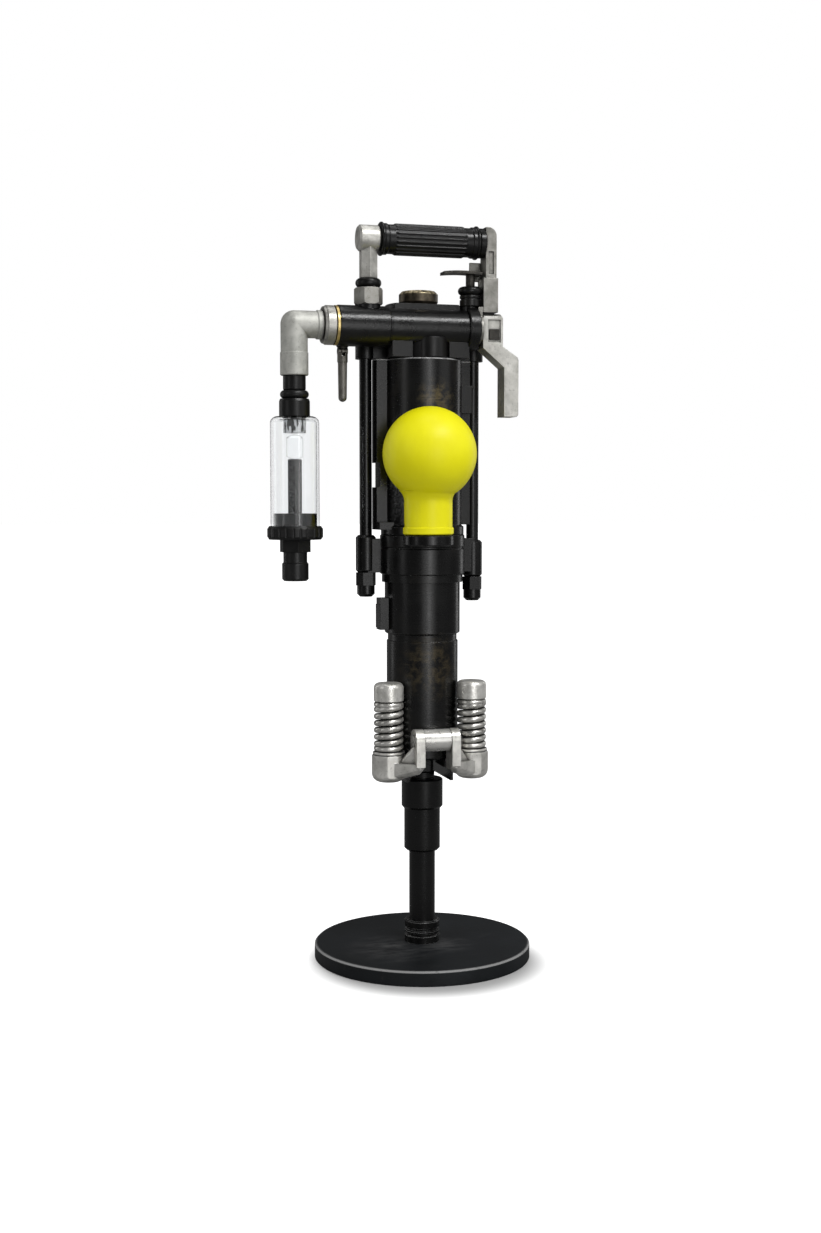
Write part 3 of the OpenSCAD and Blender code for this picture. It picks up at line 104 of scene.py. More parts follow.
# %% Steps that every tree is made of
class Steps:
    """Short names for the nodes of one tree."""

    def __init__(self, tree):
        self.tree = tree

    def add(self, kind):
        return self.tree.nodes.new(kind)

    def link(self, a, b):
        self.tree.links.new(a, b)

    def feed(self, socket, value):
        if isinstance(value, bpy.types.NodeSocket):
            self.link(value, socket)
        else:
            socket.default_value = value

    def math(self, kind, a, b=0.0, c=0.0):
        node = self.add("ShaderNodeMath")
        node.operation = kind
        for socket, value in zip(node.inputs, (a, b, c)):
            self.feed(socket, value)
        return node.outputs["Value"]

    def share(self, value, low, high, out_low=0.0, out_high=1.0, kind="LINEAR"):
        """0 up to low, 1 from high on, and a ramp between them."""
        node = self.add("ShaderNodeMapRange")
        node.clamp = True
        node.interpolation_type = kind
        names = ("Value", "From Min", "From Max", "To Min", "To Max")
        for name, number in zip(names, (value, low, high, out_low, out_high)):
            self.feed(node.inputs[name], number)
        return node.outputs["Result"]

    def mix(self, share, a, b):
        """The colour a where the share is 0, and b where it is 1."""
        node = self.add("ShaderNodeMix")
        node.data_type = "RGBA"
        self.feed(node.inputs["Factor"], share)
        self.feed(node.inputs["A"], a)
        self.feed(node.inputs["B"], b)
        return node.outputs["Result"]

    def vector_math(self, kind, a, b, result):
        node = self.add("ShaderNodeVectorMath")
        node.operation = kind
        self.feed(node.inputs[0], a)
        self.feed(node.inputs[1], b)
        return node.outputs[result]


def grey(v):
    return (v, v, v, 1.0)


def rgb(r, g, b):
    return (r, g, b, 1.0)


print("tree steps:", [name for name in vars(Steps) if not name.startswith("_")])

# %% [markdown]
# Every pattern is made from the position on the piece, so it stays in place when the piece moves.
# A noise gives clouds and grain, stretching its space turns it into strokes or rings, and an axis
# or a spot says where on the piece something is.

# %% Patterns that lie on a piece
FULL_WITHIN = 0.25


class Pattern(Steps):
    """Noise, bands and spots, all made from the position on the piece."""

    def __init__(self, tree):
        super().__init__(tree)
        self.place = self.add("ShaderNodeTexCoord").outputs["Object"]

    def stretched(self, x, y, z):
        node = self.add("ShaderNodeMapping")
        node.inputs["Scale"].default_value = (x, y, z)
        self.link(self.place, node.inputs["Vector"])
        return node.outputs["Vector"]

    def noise(self, scale, detail=4.0, rough=0.55, at=None):
        node = self.add("ShaderNodeTexNoise")
        node.inputs["Scale"].default_value = scale
        node.inputs["Detail"].default_value = detail
        node.inputs["Roughness"].default_value = rough
        self.link(at or self.place, node.inputs["Vector"])
        return node.outputs["Fac"]

    def axis(self, letter):
        node = self.add("ShaderNodeSeparateXYZ")
        self.link(self.place, node.inputs[0])
        return node.outputs[letter]

    def band(self, letter, low, high, soft=0.0004):
        """1 between low and high along one axis, with soft ends."""
        value = self.axis(letter)
        rise = self.share(value, low - soft, low + soft)
        fall = self.share(value, high - soft, high + soft, 1.0, 0.0)
        return self.math("MULTIPLY", rise, fall)

    def near(self, spot, reach):
        """1 at a spot, falling to 0 at a distance."""
        away = self.vector_math("DISTANCE", self.place, spot, "Value")
        return self.share(away, reach * FULL_WITHIN, reach, 1.0, 0.0)


print("pattern steps:", [name for name in vars(Pattern) if not name.startswith("_")])

# %% [markdown]
# A finish is a pattern with a shader at its end. Edges, which get wear and a painted highlight, are
# found by comparing the true normal with a rounded one, and crevices, which get painted shade, by how
# little of its surroundings a spot sees. The bump starts from the same rounded normal, so a sharp edge
# catches a thin highlight as a real one does.

# %% What only a finish needs
EDGE_SAMPLES = 4
CREVICE_SHADE_SAMPLES = 6


class Finish(Pattern):
    """One material with its shader."""

    def __init__(self, name, rough=0.5, metal=0.0, specular=0.5):
        self.mat = bpy.data.materials.new(name)
        self.mat.use_nodes = True
        super().__init__(self.mat.node_tree)
        self.shader = self.tree.nodes["Principled BSDF"]
        self.shader.inputs["Roughness"].default_value = rough
        self.shader.inputs["Metallic"].default_value = metal
        self.shader.inputs["Specular IOR Level"].default_value = specular
        self.soft = None

    def colour(self, value):
        self.feed(self.shader.inputs["Base Color"], value)

    def rough(self, value):
        self.feed(self.shader.inputs["Roughness"], value)

    def rounded(self, radius):
        """A normal that turns softly over every sharp edge."""
        if self.soft is None:
            node = self.add("ShaderNodeBevel")
            node.samples = EDGE_SAMPLES
            node.inputs["Radius"].default_value = radius
            self.soft = node.outputs["Normal"]
        return self.soft

    def edge(self, radius, low=0.03, high=0.15):
        """1 on sharp edges, 0 on flat and round faces."""
        true = self.add("ShaderNodeNewGeometry").outputs["Normal"]
        same = self.vector_math("DOT_PRODUCT", self.rounded(radius), true, "Value")
        return self.share(self.math("SUBTRACT", 1.0, same), low, high)

    def crevice_shade(self, reach=0.005, low=0.5, high=0.92):
        """Painted shade: 1 deep in a crevice, 0 in the open."""
        node = self.add("ShaderNodeAmbientOcclusion")
        node.samples = CREVICE_SHADE_SAMPLES
        node.inputs["Distance"].default_value = reach
        return self.share(node.outputs["AO"], low, high, 1.0, 0.0)

    def bump(self, height, strength, distance, rounding=0.0):
        node = self.add("ShaderNodeBump")
        node.inputs["Strength"].default_value = strength
        node.inputs["Distance"].default_value = distance
        self.link(height, node.inputs["Height"])
        if rounding:
            self.link(self.rounded(rounding), node.inputs["Normal"])
        self.link(node.outputs["Normal"], self.shader.inputs["Normal"])


print("finish steps:", [name for name in vars(Finish) if not name.startswith("_")])

# %% [markdown]
# The steel and iron bodies wear one black paint. It isn't quite black: it holds a faint brown
# where hands and oil have been, fine grain breaks the highlight into speckles, and rings across
# the axis are left from turning. A noise at several sizes gives all three, a spot of rubbed brown
# is laid where the photograph shows one, and the edges are lightened, partly as bare metal and
# partly as a painted highlight.

# %% Black paint
PAINT_SPECULAR = 0.40
PAINT_ROUNDING = 0.0007
OILY_BROWN = rgb(0.016, 0.012, 0.007)
RUBBED_BROWN = rgb(0.12, 0.09, 0.04)
SETTLED_DUST = grey(0.02)
BARE_AND_HIGHLIT_LINE = grey(0.42)


def black_paint(name, base=0.0022, rough=0.27, warm=0.5, edges=(), stains=(), bare=0.4, bare_and_highlight_tone=0.10):
    f = Finish(name, rough=rough, specular=PAINT_SPECULAR)
    cloud = f.noise(26.0, detail=5.0, rough=0.6)
    drag = f.noise(9.0, detail=4.0, rough=0.6, at=f.stretched(3.0, 3.0, 0.5))
    lathe = f.noise(1.0, detail=5.0, rough=0.7, at=f.stretched(14.0, 14.0, 420.0))
    smudge = f.math("MULTIPLY", f.share(cloud, 0.50, 0.74), f.share(drag, 0.46, 0.68))
    tone = f.mix(f.share(cloud, 0.3, 0.7), grey(base * 0.6), grey(base * 1.2))
    tone = f.mix(f.math("MULTIPLY", smudge, warm), tone, OILY_BROWN)
    grain = f.noise(1500.0, detail=2.0, rough=0.5)
    dust = f.share(f.noise(750.0, detail=3.0, rough=0.7), 0.60, 0.74)
    tone = f.mix(f.math("MULTIPLY", dust, 0.15), tone, SETTLED_DUST)
    for spot, reach, much in stains:
        patchy = f.share(f.noise(120.0, detail=5.0, rough=0.65), 0.42, 0.66)
        rubbed = f.math("MULTIPLY", f.near(spot, reach), patchy)
        rubbed = f.math("MULTIPLY", rubbed, f.share(lathe, 0.30, 0.60, 0.4, 1.0))
        tone = f.mix(f.math("MULTIPLY", rubbed, much), tone, RUBBED_BROWN)
    # Edges are lightened, partly as bare metal and partly as a painted highlight.
    worn_and_highlit_along = f.share(f.noise(55.0, detail=4.0, rough=0.6), 0.36, 0.62)
    bare_and_highlit_edge = f.math("MULTIPLY", f.math("MULTIPLY", f.edge(PAINT_ROUNDING), worn_and_highlit_along), bare)
    tone = f.mix(bare_and_highlit_edge, tone, grey(bare_and_highlight_tone))
    # Bands along the axis are lightened, partly as bare metal and partly as a painted highlight.
    for low, high, much in edges:
        worn_and_highlit = f.share(f.noise(180.0, detail=3.0, rough=0.6), 0.25, 0.60)
        line = f.math("MULTIPLY", f.band("Z", low, high), f.math("MULTIPLY", worn_and_highlit, much))
        tone = f.mix(line, tone, BARE_AND_HIGHLIT_LINE)
    f.colour(tone)
    uneven = f.share(cloud, 0.3, 0.7, rough - 0.05, rough + 0.05)
    gloss = f.math("ADD", uneven, f.math("MULTIPLY", dust, 0.10))
    f.rough(f.math("ADD", gloss, f.share(lathe, 0.35, 0.65, -0.015, 0.02)))
    f.bump(grain, strength=0.5, distance=0.00002, rounding=PAINT_ROUNDING)
    return f.mat


cylinder_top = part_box("cylinder")[1].z
# A bare line's low edge, high edge and share; the light line is partly bare metal and partly a painted
# highlight
bare_and_highlit_flange = (cylinder_top - 0.0011, cylinder_top + 0.001, 0.8)
# A rubbed stain's spot, reach and share
cylinder_stain = ((0.004, -0.042, cylinder_top - 0.042), 0.024, 0.8)
head_stain = ((0.0, -0.038, cylinder_top - 0.325), 0.040, 0.35)
paint = black_paint("black_paint")
cylinder_paint = black_paint("cylinder_paint", edges=[bare_and_highlit_flange], stains=[cylinder_stain])
head_paint = black_paint("head_paint", stains=[head_stain])
# The ratchet housing under the bar gets a darker, rougher copy of the paint; the darker tone is painted
# shade.
housing_paint = black_paint("housing_paint", base=0.0012, rough=0.36, bare=0.1)
steel_paint = black_paint("steel_paint", warm=0.25, bare=0.6)
# The socket's ring edges are lightened strongly, partly as bare metal and partly as a painted highlight.
socket_paint = black_paint("socket_paint", warm=0.25, bare=0.9, bare_and_highlight_tone=0.40)
print("black paints:", paint.name, cylinder_paint.name, head_paint.name, steel_paint.name)

# %% [markdown]
# Two blacks are rougher than the turned and painted one: the skin of cast iron, which is an even
# orange peel, and moulded rubber, which is finer. Both are one tone with a slow cloud in it, so
# they share a recipe, and only the grain and the gloss differ.

# %% Cast black and rubber
def moulded_black(name, rough, specular, tones, cloud, grain, bump):
    """One black: its cloud and its grain are a noise's scale, detail and roughness."""
    f = Finish(name, rough=rough, specular=specular)
    fine = f.noise(*grain)
    slow = f.noise(*cloud)
    f.colour(f.mix(f.share(slow, 0.35, 0.7), grey(tones[0]), grey(tones[1])))
    f.rough(f.share(slow, 0.3, 0.7, rough - 0.05, rough + 0.08))
    f.bump(fine, *bump)
    return f.mat


def black_rubber(name, rough=0.30, shade=0.002):
    tones = (shade * 0.8, shade * 1.5)
    return moulded_black(name, rough, specular=0.36, tones=tones, cloud=(60.0, 3.0, 0.6),
                         grain=(900.0, 3.0, 0.6), bump=(0.3, 0.00008, 0.0006))


cast_paint = moulded_black("cast_paint", rough=0.28, specular=PAINT_SPECULAR, tones=(0.002, 0.004),
                           cloud=(30.0, 4.0, 0.6), grain=(420.0, 2.0, 0.5),
                           bump=(0.5, 0.0003, PAINT_ROUNDING))
rubber = black_rubber("black_rubber")
oiler_black = black_rubber("oiler_black", rough=0.38, shade=0.004)
print("moulded blacks:", cast_paint.name, rubber.name, oiler_black.name)

# %% [markdown]
# The round plate has been stood on: its top is scuffed in long soft strokes, and its bevelled rim is
# lighter, partly where it has lost its paint and partly as a painted highlight. The rim is found from
# the distance to the plate's centre.

# %% Foot plate finish
plate_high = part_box("foot_plate")[1]
# Each scuffed patch has a spot, a reach and a share
SCUFFED = (
    ((-0.039, -0.026, plate_high.z), 0.058, 0.9),
    ((0.018, -0.024, plate_high.z), 0.036, 0.9),
)
PLATE_DARK = rgb(0.0035, 0.0045, 0.0055)
PLATE_LIGHT = rgb(0.008, 0.010, 0.012)
STROKE_GREY = grey(0.03)
SCUFF_GREY = grey(0.06)
RIM_WORN_AND_HIGHLIT_GREY = grey(0.18)
RIM_INSIDE = plate_high.x - 0.0030
RIM_OUTSIDE = plate_high.x - 0.0022


def plate_finish():
    f = Finish("plate_paint", rough=0.45, specular=0.34)
    cloud = f.noise(14.0, detail=5.0, rough=0.62)
    stroke = f.noise(22.0, detail=4.0, rough=0.7, at=f.stretched(1.0, 5.0, 1.0))
    scuff = f.share(stroke, 0.60, 0.78)
    tone = f.mix(f.share(cloud, 0.3, 0.7), PLATE_DARK, PLATE_LIGHT)
    tone = f.mix(f.math("MULTIPLY", scuff, 0.35), tone, STROKE_GREY)
    for spot, wide, much in SCUFFED:
        rubbed = f.noise(60.0, detail=6.0, rough=0.7, at=f.stretched(0.6, 2.0, 1.0))
        rubbed = f.math("MULTIPLY", f.near(spot, wide), f.share(rubbed, 0.42, 0.72))
        tone = f.mix(f.math("MULTIPLY", rubbed, much), tone, SCUFF_GREY)
    flat = f.vector_math("MULTIPLY", f.place, (1.0, 1.0, 0.0), "Vector")
    from_axis = f.vector_math("LENGTH", flat, (0.0, 0.0, 0.0), "Value")
    # The bevelled rim is lightened, partly as lost paint and partly as a painted highlight.
    edge = f.share(from_axis, RIM_INSIDE, RIM_OUTSIDE)
    rim = f.math("MULTIPLY", edge, f.band("Z", plate_high.z - 0.0020, plate_high.z - 0.0002))
    worn_and_highlit = f.share(f.noise(90.0, detail=4.0, rough=0.6), 0.18, 0.42)
    f.colour(f.mix(f.math("MULTIPLY", rim, worn_and_highlit), tone, RIM_WORN_AND_HIGHLIT_GREY))
    f.rough(f.share(cloud, 0.3, 0.7, 0.42, 0.58))
    f.bump(f.noise(700.0, detail=3.0, rough=0.6), strength=0.4, distance=0.0002)
    return f.mat


plate_paint = plate_finish()
print("plate rim radius:", round(plate_high.x, 4))

# %% [markdown]
# The handle's posts, the lever and the retainer are bright castings. A casting isn't evenly bright:
# its skin is mottled, small pits stay dark, crevices get painted shade, and its edges are lighter,
# partly polished by handling and partly a painted highlight. The same recipe gives turned steel and
# the dull blasted elbow, with other tones, grain and gloss.

# %% Recipe of a casting
CAST_ROUNDING = 0.0009
PIT_SHARE = 0.4
PIT_DARKER = 0.35
POLISH_AND_HIGHLIGHT_BRIGHTER = 1.5
CREVICE_SHADE_SHARE = 0.85
CREVICE_SHADE_DARKER = 0.12
BRIGHTEST = 0.95
PAINTED_SHADE_DARK = grey(0.03)


def shaded(tone, factor):
    """A tone made darker or brighter, but never quite white."""
    return rgb(*(min(BRIGHTEST, c * factor) for c in tone))


def casting(name, low, high, rough, grain=520.0, depth=0.00025, metal=0.85, shine=0.5, painted_shade_below=None):
    """A skin that wanders between two tones, with painted shade, nearly black, below a height if one is
    given.
    """
    f = Finish(name, rough=rough, metal=metal)
    cloud = f.noise(70.0, detail=5.0, rough=0.62)
    fine = f.noise(grain, detail=4.0, rough=0.62)
    tone = f.mix(f.share(cloud, 0.32, 0.68), rgb(*low), rgb(*high))
    pit = f.share(f.noise(grain * 0.6, detail=3.0, rough=0.6), 0.58, 0.72)
    tone = f.mix(f.math("MULTIPLY", pit, PIT_SHARE), tone, shaded(low, PIT_DARKER))
    # Below the given height the tone turns nearly black: painted shade where no light reaches.
    if painted_shade_below is not None:
        under = f.share(f.axis("Z"), painted_shade_below - 0.0002, painted_shade_below, 0.9, 0.0)
        tone = f.mix(under, tone, PAINTED_SHADE_DARK)
    # Edges are brightened, partly as polish from handling and partly as a painted highlight.
    polished_and_highlit = f.math("MULTIPLY", f.edge(CAST_ROUNDING), shine)
    tone = f.mix(polished_and_highlit, tone, shaded(high, POLISH_AND_HIGHLIGHT_BRIGHTER))
    # Crevices are darkened by how little of their surroundings they see: painted shade.
    tone = f.mix(f.math("MULTIPLY", f.crevice_shade(), CREVICE_SHADE_SHARE), tone, shaded(low, CREVICE_SHADE_DARKER))
    f.colour(tone)
    f.rough(f.share(cloud, 0.3, 0.7, rough - 0.06, rough + 0.08))
    f.bump(fine, strength=0.5, distance=depth, rounding=CAST_ROUNDING)
    return f.mat


print("casting recipe: pits", PIT_SHARE, "crevices", CREVICE_SHADE_SHARE)

# %% [markdown]
# The retainer is the brightest group. The handle's left post and the lever come next, and its nut
# and right bracket are duller. The caps are painted nearly black inside, below the top of the
# springs: painted shade where no light reaches.

# %% Handle, retainer and inlet castings
bright_cast = casting("bright_cast", (0.36, 0.355, 0.325), (0.62, 0.61, 0.575), rough=0.42, metal=0.7)
nut_cast = casting("nut_cast", (0.20, 0.195, 0.175), (0.38, 0.37, 0.345), rough=0.40, metal=0.7)
bracket_cast = casting("bracket_cast", (0.15, 0.147, 0.13), (0.36, 0.35, 0.325), rough=0.42,
                       grain=380.0, shine=0.9, metal=0.7)
lever_cast = casting("lever_cast", (0.38, 0.375, 0.345), (0.64, 0.63, 0.595), rough=0.44, metal=0.75)
retainer_cast = casting("retainer_cast", (0.60, 0.59, 0.55), (0.90, 0.885, 0.84), rough=0.33,
                        grain=420.0, metal=0.82)
cap_cast = casting("cap_cast", (0.64, 0.63, 0.59), (0.92, 0.905, 0.865), rough=0.33,
                   grain=420.0, metal=0.80, painted_shade_below=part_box("retainer_springs")[1].z)
turned_bright = casting("turned_bright", (0.64, 0.63, 0.60), (0.82, 0.81, 0.775), rough=0.28,
                        grain=900.0, depth=0.00008, metal=0.75)
elbow_grey = casting("elbow_grey", (0.34, 0.34, 0.315), (0.52, 0.52, 0.485), rough=0.52,
                     grain=620.0, depth=0.0003, metal=0.6)
swivel_grey = casting("swivel_grey", (0.32, 0.315, 0.29), (0.50, 0.49, 0.46), rough=0.40)
small_lever_grey = casting("small_lever_grey", (0.13, 0.125, 0.11), (0.22, 0.21, 0.19), rough=0.46)
inner_steel = casting("inner_steel", (0.30, 0.31, 0.32), (0.42, 0.43, 0.44), rough=0.35)
dark_steel = casting("dark_steel", (0.030, 0.029, 0.027), (0.075, 0.070, 0.062), rough=0.42)
print("bright finishes:", bright_cast.name, retainer_cast.name, elbow_grey.name)

# %% [markdown]
# The plug on the back head and the thin gasket are copper alloys. The plug is tarnished brown, and
# its top rim is golden, partly bare where a spanner rubs and partly a painted highlight.

# %% Bronze and brass finishes
TARNISH_DARK = rgb(0.045, 0.038, 0.028)
TARNISH_LIGHT = rgb(0.15, 0.125, 0.09)
RUBBED_AND_HIGHLIT_GOLD = rgb(0.88, 0.74, 0.46)


def bronze_plug():
    f = Finish("plug_bronze", rough=0.36, metal=0.9)
    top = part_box("top_plug")[1].z
    cloud = f.noise(80.0, detail=5.0, rough=0.65)
    streak = f.noise(60.0, detail=3.0, rough=0.6, at=f.stretched(4.0, 4.0, 0.4))
    tone = f.mix(f.share(cloud, 0.35, 0.65), TARNISH_DARK, TARNISH_LIGHT)
    # The top rim turns golden, partly as rubbed bare metal and partly as a painted highlight.
    rim = f.share(f.axis("Z"), top - 0.0040, top - 0.0026)
    worn_and_highlit = f.math("MULTIPLY", rim, f.share(streak, 0.35, 0.62))
    f.colour(f.mix(worn_and_highlit, tone, RUBBED_AND_HIGHLIT_GOLD))
    f.rough(f.share(cloud, 0.3, 0.7, 0.28, 0.46))
    grain = f.noise(700.0, detail=3.0, rough=0.6)
    f.bump(grain, strength=0.4, distance=0.00015, rounding=0.0006)
    return f.mat


plug_bronze = bronze_plug()
brass = casting("brass", (0.52, 0.37, 0.13), (0.78, 0.60, 0.26), rough=0.32)
inner_bronze = casting("inner_bronze", (0.36, 0.22, 0.10), (0.55, 0.36, 0.17), rough=0.36)
print("copper alloys:", plug_bronze.name, brass.name, inner_bronze.name)

# %% [markdown]
# The silencer is moulded in one bright yellow plastic. Its colour is all but the same everywhere,
# so the shape is carried by shade and gloss. A very slow noise keeps the gloss from being too
# perfect.

# %% Yellow plastic
def yellow_plastic():
    f = Finish("yellow_plastic", rough=0.42, specular=0.22)
    slow = f.noise(24.0, detail=3.0, rough=0.5)
    f.colour(f.mix(f.share(slow, 0.35, 0.65), rgb(0.62, 0.575, 0.001), rgb(0.66, 0.620, 0.002)))
    f.rough(f.share(slow, 0.3, 0.7, 0.38, 0.48))
    skin = f.noise(120.0, detail=2.0, rough=0.5)
    f.bump(skin, strength=0.12, distance=0.0004, rounding=0.0008)
    return f.mat


yellow = yellow_plastic()
print("silencer:", yellow.name)

# %% [markdown]
# The oiler's bowl and sight dome are clear plastic. Each is a real wall with an inner and an outer
# face, so a transmitting shader bends light as the real piece does. The bend is set weaker than in
# real plastic, so that what is inside can still be read, and a Layer Weight node paints the wall
# darker where it is seen edge on: painted shade in place of the darker rim that a thick clear piece
# shows.

# %% Clear plastic
def clear_plastic(name, tint, ior, rim, rim_share):
    f = Finish(name, rough=0.0)
    f.shader.inputs["Transmission Weight"].default_value = 1.0
    f.shader.inputs["IOR"].default_value = ior
    haze = f.noise(40.0, detail=3.0, rough=0.6)
    clearer = rgb(*(min(1.0, c * 1.02) for c in tint))
    tone = f.mix(f.share(haze, 0.3, 0.7), rgb(*tint), clearer)
    # Where the wall is seen edge on, its colour is darkened: painted shade.
    grazing = f.add("ShaderNodeLayerWeight").outputs["Facing"]
    painted_edge_shade = f.math("MULTIPLY", f.share(grazing, 0.52, 0.92), rim_share)
    f.colour(f.mix(painted_edge_shade, tone, grey(rim)))
    return f.mat


clear_bowl = clear_plastic("clear_bowl", (0.91, 0.918, 0.924), ior=1.32, rim=0.30, rim_share=0.75)
clear_dome = clear_plastic("clear_dome", (0.97, 0.98, 0.985), ior=1.16, rim=0.12, rim_share=0.95)
print("clear plastic:", clear_bowl.name, clear_dome.name)

# %% [markdown]
# Two things are seen through the bowl. The wick is sintered grains, pale specks on black. The neck
# of the head is a pale moulding with dark windows, while the head outside the bowl is black, so
# one finish changes over at the bowl's top edge.

# %% Inside the oiler
NECK_PALE = rgb(0.42, 0.43, 0.44)


def wick_finish():
    f = Finish("wick_grain", rough=0.75)
    grain = f.noise(620.0, detail=4.0, rough=0.75)
    f.colour(f.mix(f.share(grain, 0.50, 0.66), grey(0.004), grey(0.16)))
    f.bump(grain, strength=0.9, distance=0.0008)
    return f.mat


def oiler_head_finish():
    f = Finish("oiler_head_black", rough=0.36, specular=0.36)
    bowl_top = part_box("oiler_bowl")[1].z
    inside = f.share(f.axis("Z"), bowl_top - 0.0036, bowl_top - 0.0030, 1.0, 0.0)
    blocks = f.noise(1.0, detail=1.0, rough=0.5, at=f.stretched(260.0, 260.0, 90.0))
    neck = f.mix(f.share(blocks, 0.50, 0.54), NECK_PALE, grey(0.03))
    f.colour(f.mix(inside, grey(0.003), neck))
    grain = f.noise(900.0, detail=3.0, rough=0.6)
    f.bump(grain, strength=0.3, distance=0.00008, rounding=0.0006)
    return f.mat


wick_grain = wick_finish()
oiler_head_black = oiler_head_finish()
print("inside the oiler:", wick_grain.name, oiler_head_black.name)

# %% [markdown]
# Each solid keeps its mesh and only gets the finish that its real counterpart wears. One list
# says which, and the cell prints the solids that it left bare, so none is missed.

# %% Put the finishes on the solids
DRESS = {
    plate_paint: ["foot_plate"],
    socket_paint: ["foot_socket"],
    steel_paint: ["drill_steel", "lower_sleeve", "upper_sleeve", "retainer_fork"],
    head_paint: ["front_head"],
    housing_paint: ["ratchet_housing"],
    paint: ["side_rods", "side_rod_nuts", "trigger_bushing"],
    cylinder_paint: ["cylinder"],
    cast_paint: ["inlet_sleeve", "back_head", "throttle_cap"],
    rubber: ["grip", "post_ring", "trigger_boot", "grip_washer"],
    oiler_head_black: ["oiler_head"],
    oiler_black: ["oiler_seal", "oiler_ring_nut", "oiler_tail"],
    bright_cast: ["left_post"],
    bracket_cast: ["right_bracket"],
    nut_cast: ["post_nut"],
    lever_cast: ["throttle_lever"],
    retainer_cast: ["retainer_arms", "retainer_springs", "spring_seats"],
    cap_cast: ["retainer_caps"],
    turned_bright: ["retainer_spacer", "retainer_pin", "retainer_bolts"],
    elbow_grey: ["elbow"],
    swivel_grey: ["swivel_nut"],
    small_lever_grey: ["water_lever", "water_valve"],
    dark_steel: ["thumb_trigger", "throttle_bolt"],
    plug_bronze: ["top_plug"],
    brass: ["inlet_gasket"],
    inner_bronze: ["chuck_bushing", "chuck_nut", "rifle_nut", "stem_guide"],
    inner_steel: ["chuck", "liner", "piston", "rifle_bar", "pawls", "valve_block", "ratchet_ring",
                  "throttle_spindle", "trigger_spring", "grip_bolt"],
    yellow: ["silencer"],
    clear_bowl: ["oiler_bowl"],
    clear_dome: ["sight_dome"],
    wick_grain: ["oiler_wick"],
}
dressed = set()
for finish, names in DRESS.items():
    for name in names:
        solid = nodes_by_name[name]
        if not solid.material_slots:
            solid.data.materials.append(finish)
        for material_slot in solid.material_slots:
            material_slot.material = finish
        dressed.add(name)
print("dressed:", len(dressed), "left bare:", sorted(set(nodes_by_name) - dressed))

# %% [markdown]
# The coils and the ribbed grip are grown by Geometry Nodes, because each repeats one form by a
# rule. Such a tree has named inputs for its sizes. A modifier takes a value by the input's
# identifier and not by its name, so this class keeps a tree and its identifiers together.

# %% A tree with named inputs
class Growth(Steps):
    """A Geometry Nodes tree that ends in Realize Instances and Set Material."""

    def __init__(self, name, material, sizes):
        super().__init__(bpy.data.node_groups.new(name, "GeometryNodeTree"))
        face = self.tree.interface
        face.new_socket(name="Geometry", in_out="OUTPUT", socket_type="NodeSocketGeometry")
        self.ids = {}
        for title, value in sizes.items():
            kind = "NodeSocketInt" if isinstance(value, int) else "NodeSocketFloat"
            socket = face.new_socket(name=title, in_out="INPUT", socket_type=kind)
            socket.default_value = value
            self.ids[title] = socket.identifier
        self.given = self.add("NodeGroupInput").outputs
        self.material = material

    def end(self, geometry):
        real = self.add("GeometryNodeRealizeInstances")
        coat = self.add("GeometryNodeSetMaterial")
        coat.inputs["Material"].default_value = self.material
        self.link(geometry, real.inputs["Geometry"])
        self.link(real.outputs["Geometry"], coat.inputs["Geometry"])
        self.link(coat.outputs["Geometry"], self.add("NodeGroupOutput").inputs["Geometry"])
        return self


print("growth steps:", [name for name in vars(Growth) if not name.startswith("_")])

# %% [markdown]
# A grown shape is kept as a plain mesh, so that it exports and rides like any other piece. The tree
# runs once on a helper object, its result is copied, and the modifier and the helper go away. The
# place goes into the mesh, so the object itself stays at the origin.

# %% Grow a tree into a mesh
def grown(name, growth, sizes, place):
    host = bpy.data.objects.new(name + "_host", bpy.data.meshes.new(name + "_host"))
    scene.collection.objects.link(host)
    modifier = host.modifiers.new("grow", "NODES")
    modifier.node_group = growth.tree
    for title, value in sizes.items():
        modifier[growth.ids[title]] = value
    bpy.context.view_layer.update()
    ready = host.evaluated_get(bpy.context.evaluated_depsgraph_get())
    mesh = bpy.data.meshes.new_from_object(ready)
    host.modifiers.remove(modifier)
    bpy.data.objects.remove(host)
    mesh.transform(Matrix.Translation(place))
    return mesh


def one_piece(name, material, meshes):
    """Grown meshes of one body become one piece, with faces that point outwards."""
    work = bmesh.new()
    for part in meshes:
        work.from_mesh(part)
    bmesh.ops.recalc_face_normals(work, faces=work.faces)
    whole = bpy.data.meshes.new(name)
    work.to_mesh(whole)
    work.free()
    whole.materials.append(material)
    for polygon in whole.polygons:
        polygon.material_index = 0
        polygon.use_smooth = True
    piece = bpy.data.objects.new(name, whole)
    scene.collection.objects.link(piece)
    return piece


print("ready to grow pieces")

# %% [markdown]
# The two retainer springs are thick round wire with closed ends, so their first and last turns lie
# flat. The solids carry a coarse coil. Geometry Nodes draw the fine one: a line of points is bent
# round an axis, each point rises with its share of the turns, and a circle is swept along it. The
# closed turns are those before the first and after the last rise, where the share is held at 0 or 1.

# %% Coil spring tree
WIRE_SIDES = 18


